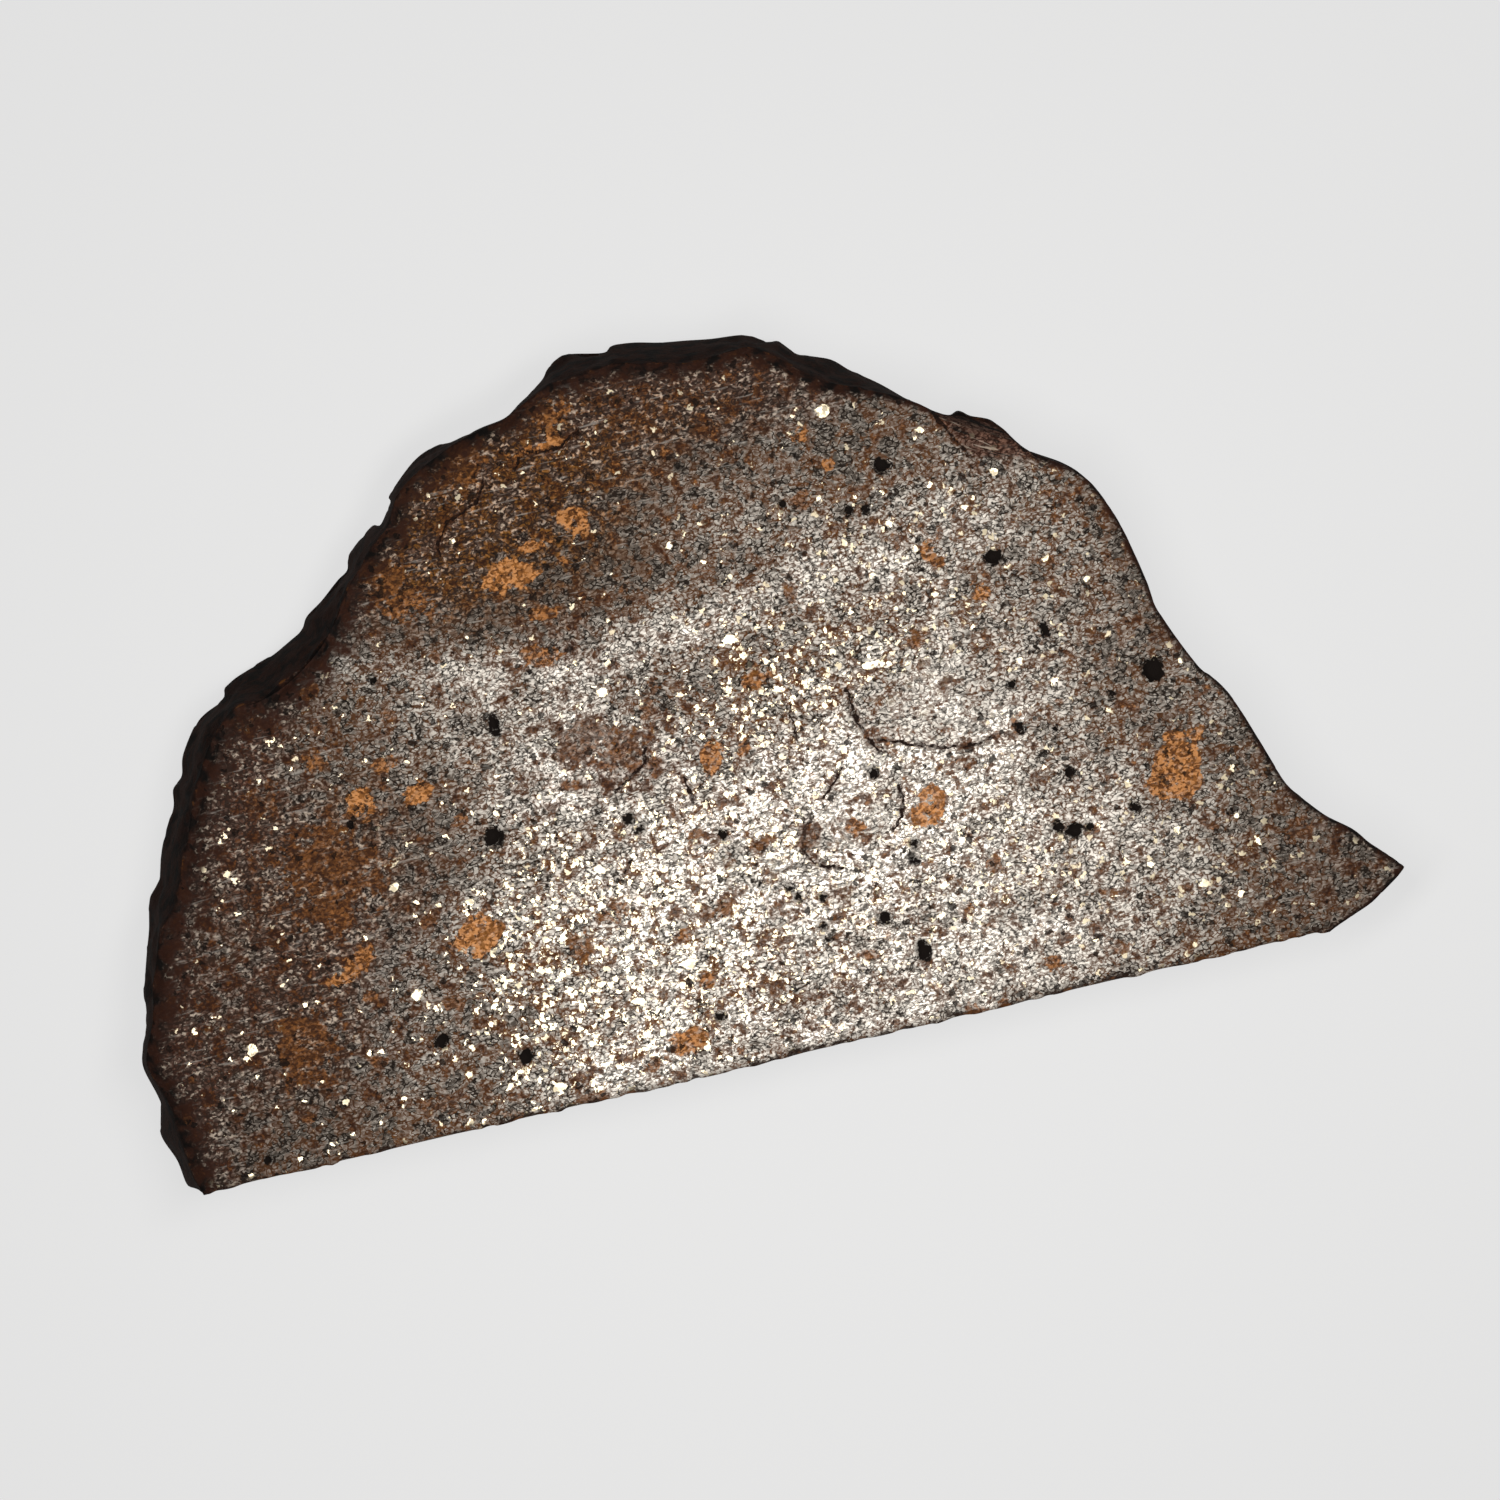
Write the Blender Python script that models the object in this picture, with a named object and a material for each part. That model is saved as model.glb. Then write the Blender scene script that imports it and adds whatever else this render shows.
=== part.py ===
# A sawn end slice of an ordinary chondrite, one solid piece of stone.
# It lies on its rear saw face with the grainy cut face up. The frame is in metres with +Z up:
# +X runs along the straight sawn edge, +Y points at the arched natural edge, and the origin is
# the middle of the foot of its bounding box.

import bmesh
import bpy
import numpy as np
from mathutils import Vector, noise

millimetre = 0.001

# Driving sizes, all in millimetres
thickness = 5.0
centre = Vector((30.5, 18.4, 0.0))  # middle of the outline's box, from the corner that rimPoints start at
columnStep = 0.58       # width of one strip of the rind wall
crackOverrun = 0.3      # how far the crack cutters stand out of the cut face
crackEnd = 0.35         # share of a crack's width and depth that is left at its ends
rindLumps = 0.2         # height of the lumps on the natural rind
rindLumpSize = 1.5      # distance between those lumps
steepShare = 0.35       # share of the lumps that stays where the wall is upright
edgeSmoothing = 0.9     # how much the rind's inner edge is calmer than its outline
wallHeights = (0.0, 0.6, 1.2, 1.8, 2.4, 3.0, 3.6, 4.2, 4.7, thickness)
wallBulge = 1.35        # over 1, the wall is steep at its foot and leans in more towards the top

# The natural rim, clockwise from the lower left corner of the sawn edge, as seen on the cut face.
# x and y are measured from that corner along and across the sawn edge. The third value is how far
# the rind slopes in between the foot of the wall and the cut face.
rimPoints = [
    (0.1, 0.0, 0.2), (-0.2, 0.3, 0.4), (-0.6, 0.6, 0.6), (-0.8, 1.9, 0.9), (-1.3, 3.3, 1.1),
    (-1.1, 4.5, 1.0), (-1.0, 5.2, 0.7), (-1.4, 6.8, 0.4), (-1.2, 7.8, 0.4), (-0.7, 9.2, 0.6),
    (-0.5, 10.6, 0.7), (0.0, 12.3, 0.8), (0.4, 13.5, 0.9), (0.8, 15.0, 1.5), (1.5, 15.8, 1.4),
    (1.9, 17.0, 1.4), (2.3, 17.9, 1.4), (3.0, 19.2, 1.3), (3.2, 20.1, 1.4), (3.8, 20.6, 1.2),
    (4.1, 21.6, 1.3), (5.0, 22.9, 1.2), (5.6, 23.4, 1.1), (6.7, 23.9, 1.0), (6.9, 24.4, 1.3),
    (7.5, 24.8, 1.7), (8.7, 25.2, 1.8), (9.6, 25.5, 1.8), (10.6, 26.0, 1.7), (11.3, 26.4, 1.6),
    (11.7, 27.0, 1.6), (12.6, 27.6, 1.3), (13.6, 28.4, 0.9), (14.2, 28.8, 0.8), (14.5, 29.5, 0.9),
    (15.9, 30.6, 0.8), (16.4, 30.6, 0.7), (17.1, 31.6, 0.4), (17.2, 32.0, 0.4), (18.7, 33.3, 0.6),
    (19.9, 33.8, 0.6), (21.0, 33.9, 0.3), (22.4, 34.2, 0.2), (23.7, 34.4, 0.2), (24.6, 35.0, 0.3),
    (25.9, 35.8, 0.6), (26.4, 36.4, 1.0), (27.2, 36.8, 1.3), (27.7, 36.8, 1.3), (29.2, 36.5, 1.0),
    (29.7, 36.7, 1.0), (30.8, 36.6, 1.2), (32.1, 36.3, 1.3), (33.4, 36.1, 1.3), (34.6, 35.9, 1.1),
    (36.3, 35.7, 0.7), (37.2, 35.2, 0.7), (37.9, 35.0, 0.9), (38.7, 34.2, 1.0), (40.2, 33.6, 1.4),
    (41.1, 32.8, 1.1), (42.4, 31.8, 0.6), (43.9, 30.4, 0.1), (44.7, 29.8, 0.1), (45.4, 29.5, 0.2),
    (45.9, 29.6, 0.2), (46.4, 29.2, 0.2), (47.3, 28.8, 0.2), (47.9, 28.2, 0.2), (48.4, 27.4, 0.2),
    (48.9, 26.8, 0.2), (50.3, 25.9, 0.2), (51.1, 25.1, 0.1), (51.8, 23.9, 0.1), (52.5, 22.0, 0.1),
    (53.1, 18.9, 0.1), (53.3, 17.5, 0.1), (54.5, 14.6, 0.1), (55.2, 13.7, 0.1), (55.9, 12.5, 0.1),
    (56.7, 10.2, 0.1), (57.5, 7.8, 0.1), (58.1, 6.9, 0.1), (59.1, 5.7, 0.1), (60.3, 4.7, 0.1),
    (60.9, 3.9, 0.1), (61.8, 3.1, 0.1), (62.4, 2.3, 0.1), (61.9, 1.8, 0.1), (61.0, 1.3, 0.1),
    (60.2, 0.8, 0.1), (59.1, 0.4, 0.1), (58.0, 0.0, 0.1),
]

# Pits where grains fell out of the cut face: x, y, half width and depth
pits = [
    (45.8, 21.4, 0.55, 0.45), (36.4, 5.8, 0.38, 0.35), (38.0, 3.7, 0.36, 0.35),
    (17.5, 3.1, 0.42, 0.35), (41.4, 27.7, 0.42, 0.30), (52.3, 14.8, 0.62, 0.35),
    (46.7, 7.8, 0.42, 0.32), (47.1, 11.0, 0.34, 0.30), (49.9, 8.3, 0.34, 0.30),
    (38.8, 9.1, 0.32, 0.28), (33.4, 6.1, 0.34, 0.28), (37.6, 12.9, 0.34, 0.28),
    (47.5, 18.0, 0.36, 0.30), (46.9, 12.8, 0.32, 0.28), (36.5, 26.9, 0.38, 0.30),
    (39.5, 25.9, 0.34, 0.28), (19.7, 19.6, 0.42, 0.35), (18.4, 14.2, 0.45, 0.22),
    (13.5, 4.8, 0.34, 0.28), (3.7, 1.2, 0.32, 0.30), (11.6, 16.3, 0.34, 0.28),
    (14.3, 23.2, 0.34, 0.28), (27.4, 2.8, 0.36, 0.28), (32.2, 8.3, 0.40, 0.28),
    (25.2, 13.4, 0.40, 0.28), (54.5, 7.0, 0.30, 0.25),
]

# Cracks in the cut face: half width, depth, then the points that each crack passes
cracks = [
    (0.11, 0.40, [(37.3, 17.1), (37.3, 15.9), (37.6, 14.8), (38.1, 13.9)]),
    (0.09, 0.32, [(38.2, 14.4), (39.0, 14.2), (39.8, 13.8), (41.0, 13.4), (42.7, 13.1), (43.9, 13.3)]),
    (0.09, 0.30, [(38.7, 12.0), (38.7, 11.0), (38.4, 10.4), (37.9, 9.9)]),
    (0.12, 0.28, [(35.7, 13.3), (35.0, 12.3), (34.1, 11.8), (33.5, 10.9), (33.4, 10.0), (33.8, 9.2),
                  (34.6, 8.7)]),
    (0.10, 0.30, [(26.8, 16.7), (26.5, 15.9), (25.7, 15.5), (25.0, 15.0)]),
    (0.13, 0.40, [(23.7, 31.7), (24.1, 32.4), (25.2, 32.1), (26.0, 32.3), (27.1, 32.9)]),
    (0.10, 0.32, [(21.9, 31.4), (21.3, 30.4), (19.7, 29.9), (19.0, 29.0), (19.0, 28.4)]),
]

# Small nicks along the upper arris of the sawn edge: x along it and radius
nicks = [(8.3, 0.30), (22.3, 0.42), (30.6, 0.50), (36.2, 0.28), (44.6, 0.45), (47.0, 0.38), (51.3, 0.40)]
nickBite = 0.62         # share of a nick's radius that stays outside the stone

# The chip that broke off the arched edge: three corners on its floor as x, y and height
chipFloor = [(44.6, 29.6, 4.60), (45.9, 27.1, 4.72), (50.4, 26.0, 4.96)]
chipDrop = 0.7          # how much lower the floor is where it meets the rim
chipOutside = (48.6, 27.5)


def roundCurve(points, step):
    """Catmull-Rom curve through the points, read off at even steps of its length."""
    given = np.array(points, dtype=float)
    padded = np.vstack([2 * given[0] - given[1], given, 2 * given[-1] - given[-2]])
    along = np.linspace(0.0, 1.0, 12, endpoint=False)[:, None]
    runs = []
    for a, b, c, d in zip(padded[:-3], padded[1:-2], padded[2:-1], padded[3:]):
        bend = 2 * a - 5 * b + 4 * c - d
        twist = 3 * (b - c) + d - a
        runs.append(0.5 * (2 * b + (c - a) * along + bend * along ** 2 + twist * along ** 3))
    dense = np.vstack(runs + [given[-1:]])
    lengths = np.linalg.norm(np.diff(dense[:, :2], axis=0), axis=1)
    station = np.concatenate([[0.0], np.cumsum(lengths)])
    wanted = np.linspace(0.0, station[-1], int(round(station[-1] / step)) + 1)
    return np.column_stack([np.interp(wanted, station, column) for column in dense.T])


def smoothed(points, width):
    """The same run of points with every bump narrower than the width calmed down."""
    reach = int(3 * width / columnStep)
    offsets = np.arange(-reach, reach + 1) * columnStep
    weights = np.exp(-0.5 * (offsets / width) ** 2)
    weights /= weights.sum()
    padded = np.pad(points, ((reach, reach), (0, 0)), mode="reflect", reflect_type="odd")
    return np.column_stack([np.convolve(column, weights, mode="valid") for column in padded.T])


def makeMaterial(name, colour, roughness):
    """A plain stone-like surface."""
    material = bpy.data.materials.new(name)
    material.use_nodes = True
    shader = material.node_tree.nodes["Principled BSDF"]
    shader.inputs["Base Color"].default_value = (*colour, 1.0)
    shader.inputs["Roughness"].default_value = roughness
    shader.inputs["Metallic"].default_value = 0.0
    return material


def makeObject(name, mesh, collection):
    """Puts a finished bmesh into a new object, with its normals outward."""
    bmesh.ops.recalc_face_normals(mesh, faces=mesh.faces)
    data = bpy.data.meshes.new(name)
    mesh.to_mesh(data)
    mesh.free()
    made = bpy.data.objects.new(name, data)
    collection.objects.link(made)
    return made


def makeCutter(name, mesh, collection):
    """A tool for a Boolean, kept out of the render."""
    cutter = makeObject(name, mesh, collection)
    cutter.hide_render = True
    cutter.display_type = "WIRE"
    return cutter


def addCut(target, cutter):
    """Takes the cutter out of the target by an exact Boolean."""
    cut = target.modifiers.new(cutter.name, "BOOLEAN")
    cut.operation = "DIFFERENCE"
    cut.solver = "EXACT"
    cut.object = cutter


def sawnStone():
    """The slice before its pits: a wall lofted from the wide foot up to the narrower cut face.

    Its first and last columns lie on the sawn plane y = 0, so the strip between them is the sawn edge.
    """
    rim = roundCurve(rimPoints, columnStep)
    outline = rim[:, :2]
    slope = rim[:, 2:3]
    calm = smoothed(outline, edgeSmoothing)
    tangent = np.gradient(calm, axis=0)
    tangent /= np.linalg.norm(tangent, axis=1)[:, None]
    inward = np.column_stack([tangent[:, 1], -tangent[:, 0]])
    inward[0] = (1.0, 0.0)
    inward[-1] = (-1.0, 0.0)
    share = np.clip(slope / 0.8, 0.0, 1.0)
    upper = outline * (1 - share) + calm * share + inward * slope

    mesh = bmesh.new()
    rings = []
    for height in wallHeights:
        plan = outline + (upper - outline) * (height / thickness) ** wallBulge
        ring = []
        for point, side, amount in zip(plan, inward, slope[:, 0]):
            place = Vector((point[0], point[1], height))
            lump = noise.noise(place / rindLumpSize) + 0.5 * noise.noise(place / (0.45 * rindLumpSize))
            push = rindLumps * min(1.0, steepShare + amount) * lump
            place += Vector((side[0], side[1], 0.0)) * push
            ring.append(mesh.verts.new((place - centre) * millimetre))
        rings.append(ring)
    for lower, above in zip(rings[:-1], rings[1:]):
        for column in range(len(lower)):
            after = (column + 1) % len(lower)
            mesh.faces.new((lower[column], lower[after], above[after], above[column]))
    mesh.faces.new(rings[0])
    mesh.faces.new(rings[-1])
    return mesh


def addBall(mesh, middle, radius, squash, detail):
    """One rounded lump in a cutter, squashed in height."""
    made = bmesh.ops.create_icosphere(mesh, subdivisions=detail, radius=radius * millimetre)
    for vert in made["verts"]:
        vert.co.z *= squash
        vert.co += (Vector(middle) - centre) * millimetre


def pitTools():
    """Rounded hollows that reach down from the cut face."""
    mesh = bmesh.new()
    for x, y, halfWidth, depth in pits:
        detail = 2 if halfWidth > 0.4 else 1
        addBall(mesh, (x, y, thickness), halfWidth, depth / halfWidth, detail)
    return mesh


def nickTools():
    """Bites out of the upper arris of the sawn edge."""
    mesh = bmesh.new()
    for x, radius in nicks:
        addBall(mesh, (x, -nickBite * radius, thickness), radius, 1.0, 2)
    return mesh


def crackTools():
    """V-shaped blades, one along each crack, narrower and shallower at both ends."""
    mesh = bmesh.new()
    for halfWidth, depth, points in cracks:
        path = np.array(points)
        tangent = np.gradient(path, axis=0)
        tangent /= np.linalg.norm(tangent, axis=1)[:, None]
        across = np.column_stack([-tangent[:, 1], tangent[:, 0]])
        stations = []
        for index, (point, side) in enumerate(zip(path, across)):
            taper = crackEnd if index in (0, len(path) - 1) else 1.0
            top = thickness + crackOverrun
            half = halfWidth * taper * (depth + crackOverrun) / depth
            corners = [
                (point[0] - side[0] * half, point[1] - side[1] * half, top),
                (point[0] + side[0] * half, point[1] + side[1] * half, top),
                (point[0], point[1], thickness - depth * taper),
            ]
            stations.append([mesh.verts.new((Vector(corner) - centre) * millimetre) for corner in corners])
        for near, far in zip(stations[:-1], stations[1:]):
            for corner in range(3):
                after = (corner + 1) % 3
                mesh.faces.new((near[corner], near[after], far[after], far[corner]))
        mesh.faces.new(stations[0])
        mesh.faces.new(stations[-1])
    return mesh


def chipTool():
    """A wedge whose underside is the sloping floor of the chip on the arched edge."""
    first, second, third = (Vector(corner) for corner in chipFloor)
    outside = Vector((chipOutside[0], chipOutside[1], first.z - chipDrop))
    beyond = outside + (outside - (first + third) / 2) * 1.6
    floor = [first, second, third, beyond + (third - first) * 0.6, beyond - (third - first) * 0.6]
    mesh = bmesh.new()
    low = [mesh.verts.new((point - centre) * millimetre) for point in floor]
    high = [mesh.verts.new((point - centre + Vector((0, 0, 4.0))) * millimetre) for point in floor]
    for index in range(len(floor)):
        after = (index + 1) % len(floor)
        mesh.faces.new((low[index], low[after], high[after], high[index]))
    mesh.faces.new(low)
    mesh.faces.new(high)
    bmesh.ops.triangulate(mesh, faces=mesh.faces)
    return mesh


def main():
    for leftover in list(bpy.data.objects):
        bpy.data.objects.remove(leftover)
    parts = bpy.data.collections.new("chondriteSlice")
    cutters = bpy.data.collections.new("cutters")
    bpy.context.scene.collection.children.link(parts)
    bpy.context.scene.collection.children.link(cutters)

    stone = makeObject("slice", sawnStone(), parts)
    stone.data.materials.append(makeMaterial("chondrite", (0.235, 0.180, 0.145), 0.62))
    addCut(stone, makeCutter("chip", chipTool(), cutters))
    addCut(stone, makeCutter("nicks", nickTools(), cutters))
    addCut(stone, makeCutter("pits", pitTools(), cutters))
    addCut(stone, makeCutter("cracks", crackTools(), cutters))


main()
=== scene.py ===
import math

import bpy
import numpy as np
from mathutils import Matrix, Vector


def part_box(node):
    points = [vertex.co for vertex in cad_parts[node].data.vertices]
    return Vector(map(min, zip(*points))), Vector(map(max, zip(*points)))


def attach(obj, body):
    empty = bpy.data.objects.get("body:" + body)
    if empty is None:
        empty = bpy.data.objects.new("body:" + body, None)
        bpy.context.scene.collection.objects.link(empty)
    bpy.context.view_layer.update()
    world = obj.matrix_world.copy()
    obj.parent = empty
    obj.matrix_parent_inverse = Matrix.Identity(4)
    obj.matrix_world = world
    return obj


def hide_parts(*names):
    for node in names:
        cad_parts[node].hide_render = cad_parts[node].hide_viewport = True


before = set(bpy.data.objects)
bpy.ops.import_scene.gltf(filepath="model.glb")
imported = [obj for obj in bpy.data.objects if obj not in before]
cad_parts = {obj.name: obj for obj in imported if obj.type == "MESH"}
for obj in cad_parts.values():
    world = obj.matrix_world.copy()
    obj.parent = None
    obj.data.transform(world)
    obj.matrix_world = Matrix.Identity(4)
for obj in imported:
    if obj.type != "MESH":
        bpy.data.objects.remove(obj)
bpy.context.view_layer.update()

# A sawn end slice of an ordinary chondrite, lying on its rear saw face.
# All sizes below are millimetres, measured from the lower left corner of the sawn edge:
# x along that edge, y across the slice, z up from the rear saw face.

millimetre = 0.001
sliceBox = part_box("slice")
sliceSize = {
    "middle": (30.5, 18.4),         # where the frame's origin lies in these measures
    "thickness": sliceBox[1][2] / millimetre,
    "columns": 400,                 # grid steps along the slice
    "rows": 192,                    # grid steps across it
    "rearStep": 4,                  # the plain rear face has one step for this many of the front's
    "easingRounds": 4000,           # how often the grid's inner points are evened out
    "rearInset": 0.6,               # band round the rear face where the two step sizes meet
    "cornerReach": 2.6,             # near the ends of the sawn edge that band turns to the diagonal
    "rimStep": 0.05,                # spacing of the points read off the rim's curve
    "curveSteps": 24,               # points worked out between two given ones
    "rimEnds": 0.4,                 # from its ends, the rim's way in turns to its own over this length
    "fullSlope": 0.8,               # where the rind slopes in this far, its inner edge is fully calmed
    "wallBulge": 1.35,              # the rind wall is steep at its foot and leans in towards the top
    "edgeSmoothing": 0.9,           # how much the rind's inner edge is calmer than its outline
    "innerSmoothing": 0.4,          # evens out that inner edge, so that it never doubles back
    "skin": 0.035,                  # the cut face's mean level lies this far under its highest grains
}

# The natural rim, clockwise from the lower left corner: x, y, and how far the rind slopes in.
rimPoints = [
    (0.1, 0.0, 0.2), (-0.2, 0.3, 0.4), (-0.6, 0.6, 0.6), (-0.8, 1.9, 0.9), (-1.3, 3.3, 1.1),
    (-1.1, 4.5, 1.0), (-1.0, 5.2, 0.7), (-1.4, 6.8, 0.4), (-1.2, 7.8, 0.4), (-0.7, 9.2, 0.6),
    (-0.5, 10.6, 0.7), (0.0, 12.3, 0.8), (0.4, 13.5, 0.9), (0.8, 15.0, 1.5), (1.5, 15.8, 1.4),
    (1.9, 17.0, 1.4), (2.3, 17.9, 1.4), (3.0, 19.2, 1.3), (3.2, 20.1, 1.4), (3.8, 20.6, 1.2),
    (4.1, 21.6, 1.3), (5.0, 22.9, 1.2), (5.6, 23.4, 1.1), (6.7, 23.9, 1.0), (6.9, 24.4, 1.3),
    (7.5, 24.8, 1.7), (8.7, 25.2, 1.8), (9.6, 25.5, 1.8), (10.6, 26.0, 1.7), (11.3, 26.4, 1.6),
    (11.7, 27.0, 1.6), (12.6, 27.6, 1.3), (13.6, 28.4, 0.9), (14.2, 28.8, 0.8), (14.5, 29.5, 0.9),
    (15.9, 30.6, 0.8), (16.4, 30.6, 0.7), (17.1, 31.6, 0.4), (17.2, 32.0, 0.4), (18.7, 33.3, 0.6),
    (19.9, 33.8, 0.6), (21.0, 33.9, 0.3), (22.4, 34.2, 0.2), (23.7, 34.4, 0.2), (24.6, 35.0, 0.3),
    (25.9, 35.8, 0.6), (26.4, 36.4, 1.0), (27.2, 36.8, 1.3), (27.7, 36.8, 1.3), (29.2, 36.5, 1.0),
    (29.7, 36.7, 1.0), (30.8, 36.6, 1.2), (32.1, 36.3, 1.3), (33.4, 36.1, 1.3), (34.6, 35.9, 1.1),
    (36.3, 35.7, 0.7), (37.2, 35.2, 0.7), (37.9, 35.0, 0.9), (38.7, 34.2, 1.0), (40.2, 33.6, 1.4),
    (41.1, 32.8, 1.1), (42.4, 31.8, 0.6), (43.9, 30.4, 0.1), (44.7, 29.8, 0.1), (45.4, 29.5, 0.2),
    (45.9, 29.6, 0.2), (46.4, 29.2, 0.2), (47.3, 28.8, 0.2), (47.9, 28.2, 0.2), (48.4, 27.4, 0.2),
    (48.9, 26.8, 0.2), (50.3, 25.9, 0.2), (51.1, 25.1, 0.1), (51.8, 23.9, 0.1), (52.5, 22.0, 0.1),
    (53.1, 18.9, 0.1), (53.3, 17.5, 0.1), (54.5, 14.6, 0.1), (55.2, 13.7, 0.1), (55.9, 12.5, 0.1),
    (56.7, 10.2, 0.1), (57.5, 7.8, 0.1), (58.1, 6.9, 0.1), (59.1, 5.7, 0.1), (60.3, 4.7, 0.1),
    (60.9, 3.9, 0.1), (61.8, 3.0, 0.1), (62.2, 2.5, 0.1), (62.4, 2.3, 0.1), (62.2, 2.1, 0.1),
    (61.8, 1.8, 0.1), (61.0, 1.3, 0.1), (60.2, 0.8, 0.1), (59.1, 0.4, 0.1), (58.0, 0.0, 0.1),
]
gridCorners = {"left": (7.5, 24.8), "right": (50.3, 25.9), "tip": (62.4, 2.3)}


def latticeNoise(x, y, z, seed):
    # Random values in -1..1 at whole-number corners, blended along each axis by 3t^2 - 2t^3.
    whole = [np.floor(a).astype(np.int64) for a in (x, y, z)]
    part = [a - w for a, w in zip((x, y, z), whole)]
    blend = [t * t * (3 - 2 * t) for t in part]
    total = np.zeros_like(x)
    for corner in range(8):
        step = (corner & 1, corner >> 1 & 1, corner >> 2)
        mixed = sum((w + s) * k for w, s, k in zip(whole, step, (374761393, 668265263, 974634777)))
        mixed = (mixed + seed * 1274126177) & 0xffffffff
        mixed = ((mixed ^ (mixed >> 13)) * 1274126177) & 0xffffffff
        value = ((mixed ^ (mixed >> 16)) & 0xffff) / 32767.5 - 1
        share = np.ones_like(x)
        for s, b in zip(step, blend):
            share = share * (b if s else 1 - b)
        total += value * share
    return total


def roughNoise(x, y, z, size, octaves, seed):
    # Lattice noise at the given bump size in mm, plus half as much at half the size, and so on.
    total = np.zeros_like(x)
    for octave in range(octaves):
        scale = 2 ** octave / size
        total += latticeNoise(x * scale, y * scale, z * scale, seed + octave) / 2 ** octave
    return total


def ramp(value, low, high):
    # 0 below low, 1 above high, and 3t^2 - 2t^3 between.
    t = np.clip((value - low) / (high - low), 0, 1)
    return t * t * (3 - 2 * t)


def rimTable():
    # Catmull-Rom curve through the rim points, read at even steps of its length, with the inner edge
    # beside it: the outline moved inwards by the slope, and calmer where the slope is broad.
    given = np.array(rimPoints)
    padded = np.vstack([2 * given[0] - given[1], given, 2 * given[-1] - given[-2]])
    t = np.linspace(0, 1, sliceSize["curveSteps"], endpoint=False)[:, None]
    a, b, c, d = padded[:-3], padded[1:-2], padded[2:-1], padded[3:]
    runs = [0.5 * (2 * q + (r - p) * t + (2 * p - 5 * q + 4 * r - s) * t ** 2
                   + (3 * (q - r) + s - p) * t ** 3)
            for p, q, r, s in zip(a, b, c, d)]
    dense = np.vstack(runs + [given[-1:]])
    station = np.concatenate([[0], np.cumsum(np.linalg.norm(np.diff(dense[:, :2], axis=0), axis=1))])
    step = sliceSize["rimStep"]
    wanted = np.linspace(0, station[-1], int(station[-1] / step))
    dense = np.column_stack([np.interp(wanted, station, column) for column in dense.T])
    outline, slope = dense[:, :2], dense[:, 2:]

    def calmed(line, spread):
        # Each point becomes the mean of its neighbours, weighted by a bell curve of that spread.
        reach = int(3 * spread / step)
        weights = np.exp(-0.5 * (np.arange(-reach, reach + 1) * step / spread) ** 2)
        long = np.pad(line, ((reach, reach), (0, 0)), mode="reflect", reflect_type="odd")
        weights /= weights.sum()
        return np.column_stack([np.convolve(column, weights, mode="valid") for column in long.T])

    calm = calmed(outline, sliceSize["edgeSmoothing"])
    tangent = np.gradient(calm, axis=0)
    tangent /= np.linalg.norm(tangent, axis=1)[:, None]
    inward = np.column_stack([tangent[:, 1], -tangent[:, 0]])
    ends = np.minimum(np.arange(len(wanted)), np.arange(len(wanted))[::-1])[:, None] * step
    along = np.where(np.arange(len(wanted))[:, None] < len(wanted) / 2, [[1.0, 0.0]], [[-1.0, 0.0]])
    own = ramp(ends, 0, sliceSize["rimEnds"])
    inward = inward * own + along * (1 - own)
    share = np.clip(slope / sliceSize["fullSlope"], 0, 1)
    inner = outline * (1 - share) + calm * share + inward * slope
    inner = inner * (1 - share) + calmed(inner, sliceSize["innerSmoothing"]) * share
    return {"station": wanted, "table": np.column_stack([outline, inner, inward, slope])}


def loopPoints(rim):
    # Once round the slice, anticlockwise from the lower left corner, with as many steps on each side
    # as the grid has. The sawn run is a straight line whose top is moved in by the bites of the saw.
    # Columns: foot x y, top x y, inward x y, slope, natural (1) or sawn (0).
    station, table = rim["station"], rim["table"]

    def nearest(point):
        # The length along the rim at which it comes closest to the point.
        return station[np.argmin(np.hypot(*(table[:, :2] - point).T))]

    def alongRim(start, end, count):
        # The table read at even steps between two lengths, without the last one.
        where = np.linspace(start, end, count + 1)[:-1]
        return np.column_stack([np.interp(where, station, column) for column in table.T])

    left, right, tip = (nearest(gridCorners[name]) for name in ("left", "right", "tip"))
    across, up = sliceSize["columns"], sliceSize["rows"]
    endLength = station[-1] - tip
    sawnLength = table[-1, 0] - table[0, 0]
    endSteps = int(round(across * endLength / (endLength + sawnLength)))
    t = np.linspace(0, 1, across - endSteps + 1)[:-1, None]
    sawn = table[0] * (1 - t) + table[-1] * t
    fadeIn, fadeOut = cutFace["chewFades"]
    sawn[:, 3] += sawnChew(sawn[:, 2]) * ramp(sawn[:, 2], *fadeIn) * (1 - ramp(sawn[:, 2], *fadeOut))
    sawn[:, 4:6] = (0, 1)
    sides = [sawn, alongRim(station[-1], tip, endSteps), alongRim(tip, right, up),
             alongRim(right, left, across), alongRim(left, 0, up)]
    loop = np.vstack(sides)
    natural = np.ones(len(loop))
    natural[:len(sawn)] = 0
    natural[0] = 1
    return np.column_stack([loop, natural])


def loopIndex(columns, rows):
    # Grid index of each boundary point in the same anticlockwise order.
    grid = np.arange((rows + 1) * (columns + 1)).reshape(rows + 1, columns + 1)
    return np.concatenate([grid[0, :-1], grid[:-1, -1], grid[-1, :0:-1], grid[:0:-1, 0]])


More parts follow.
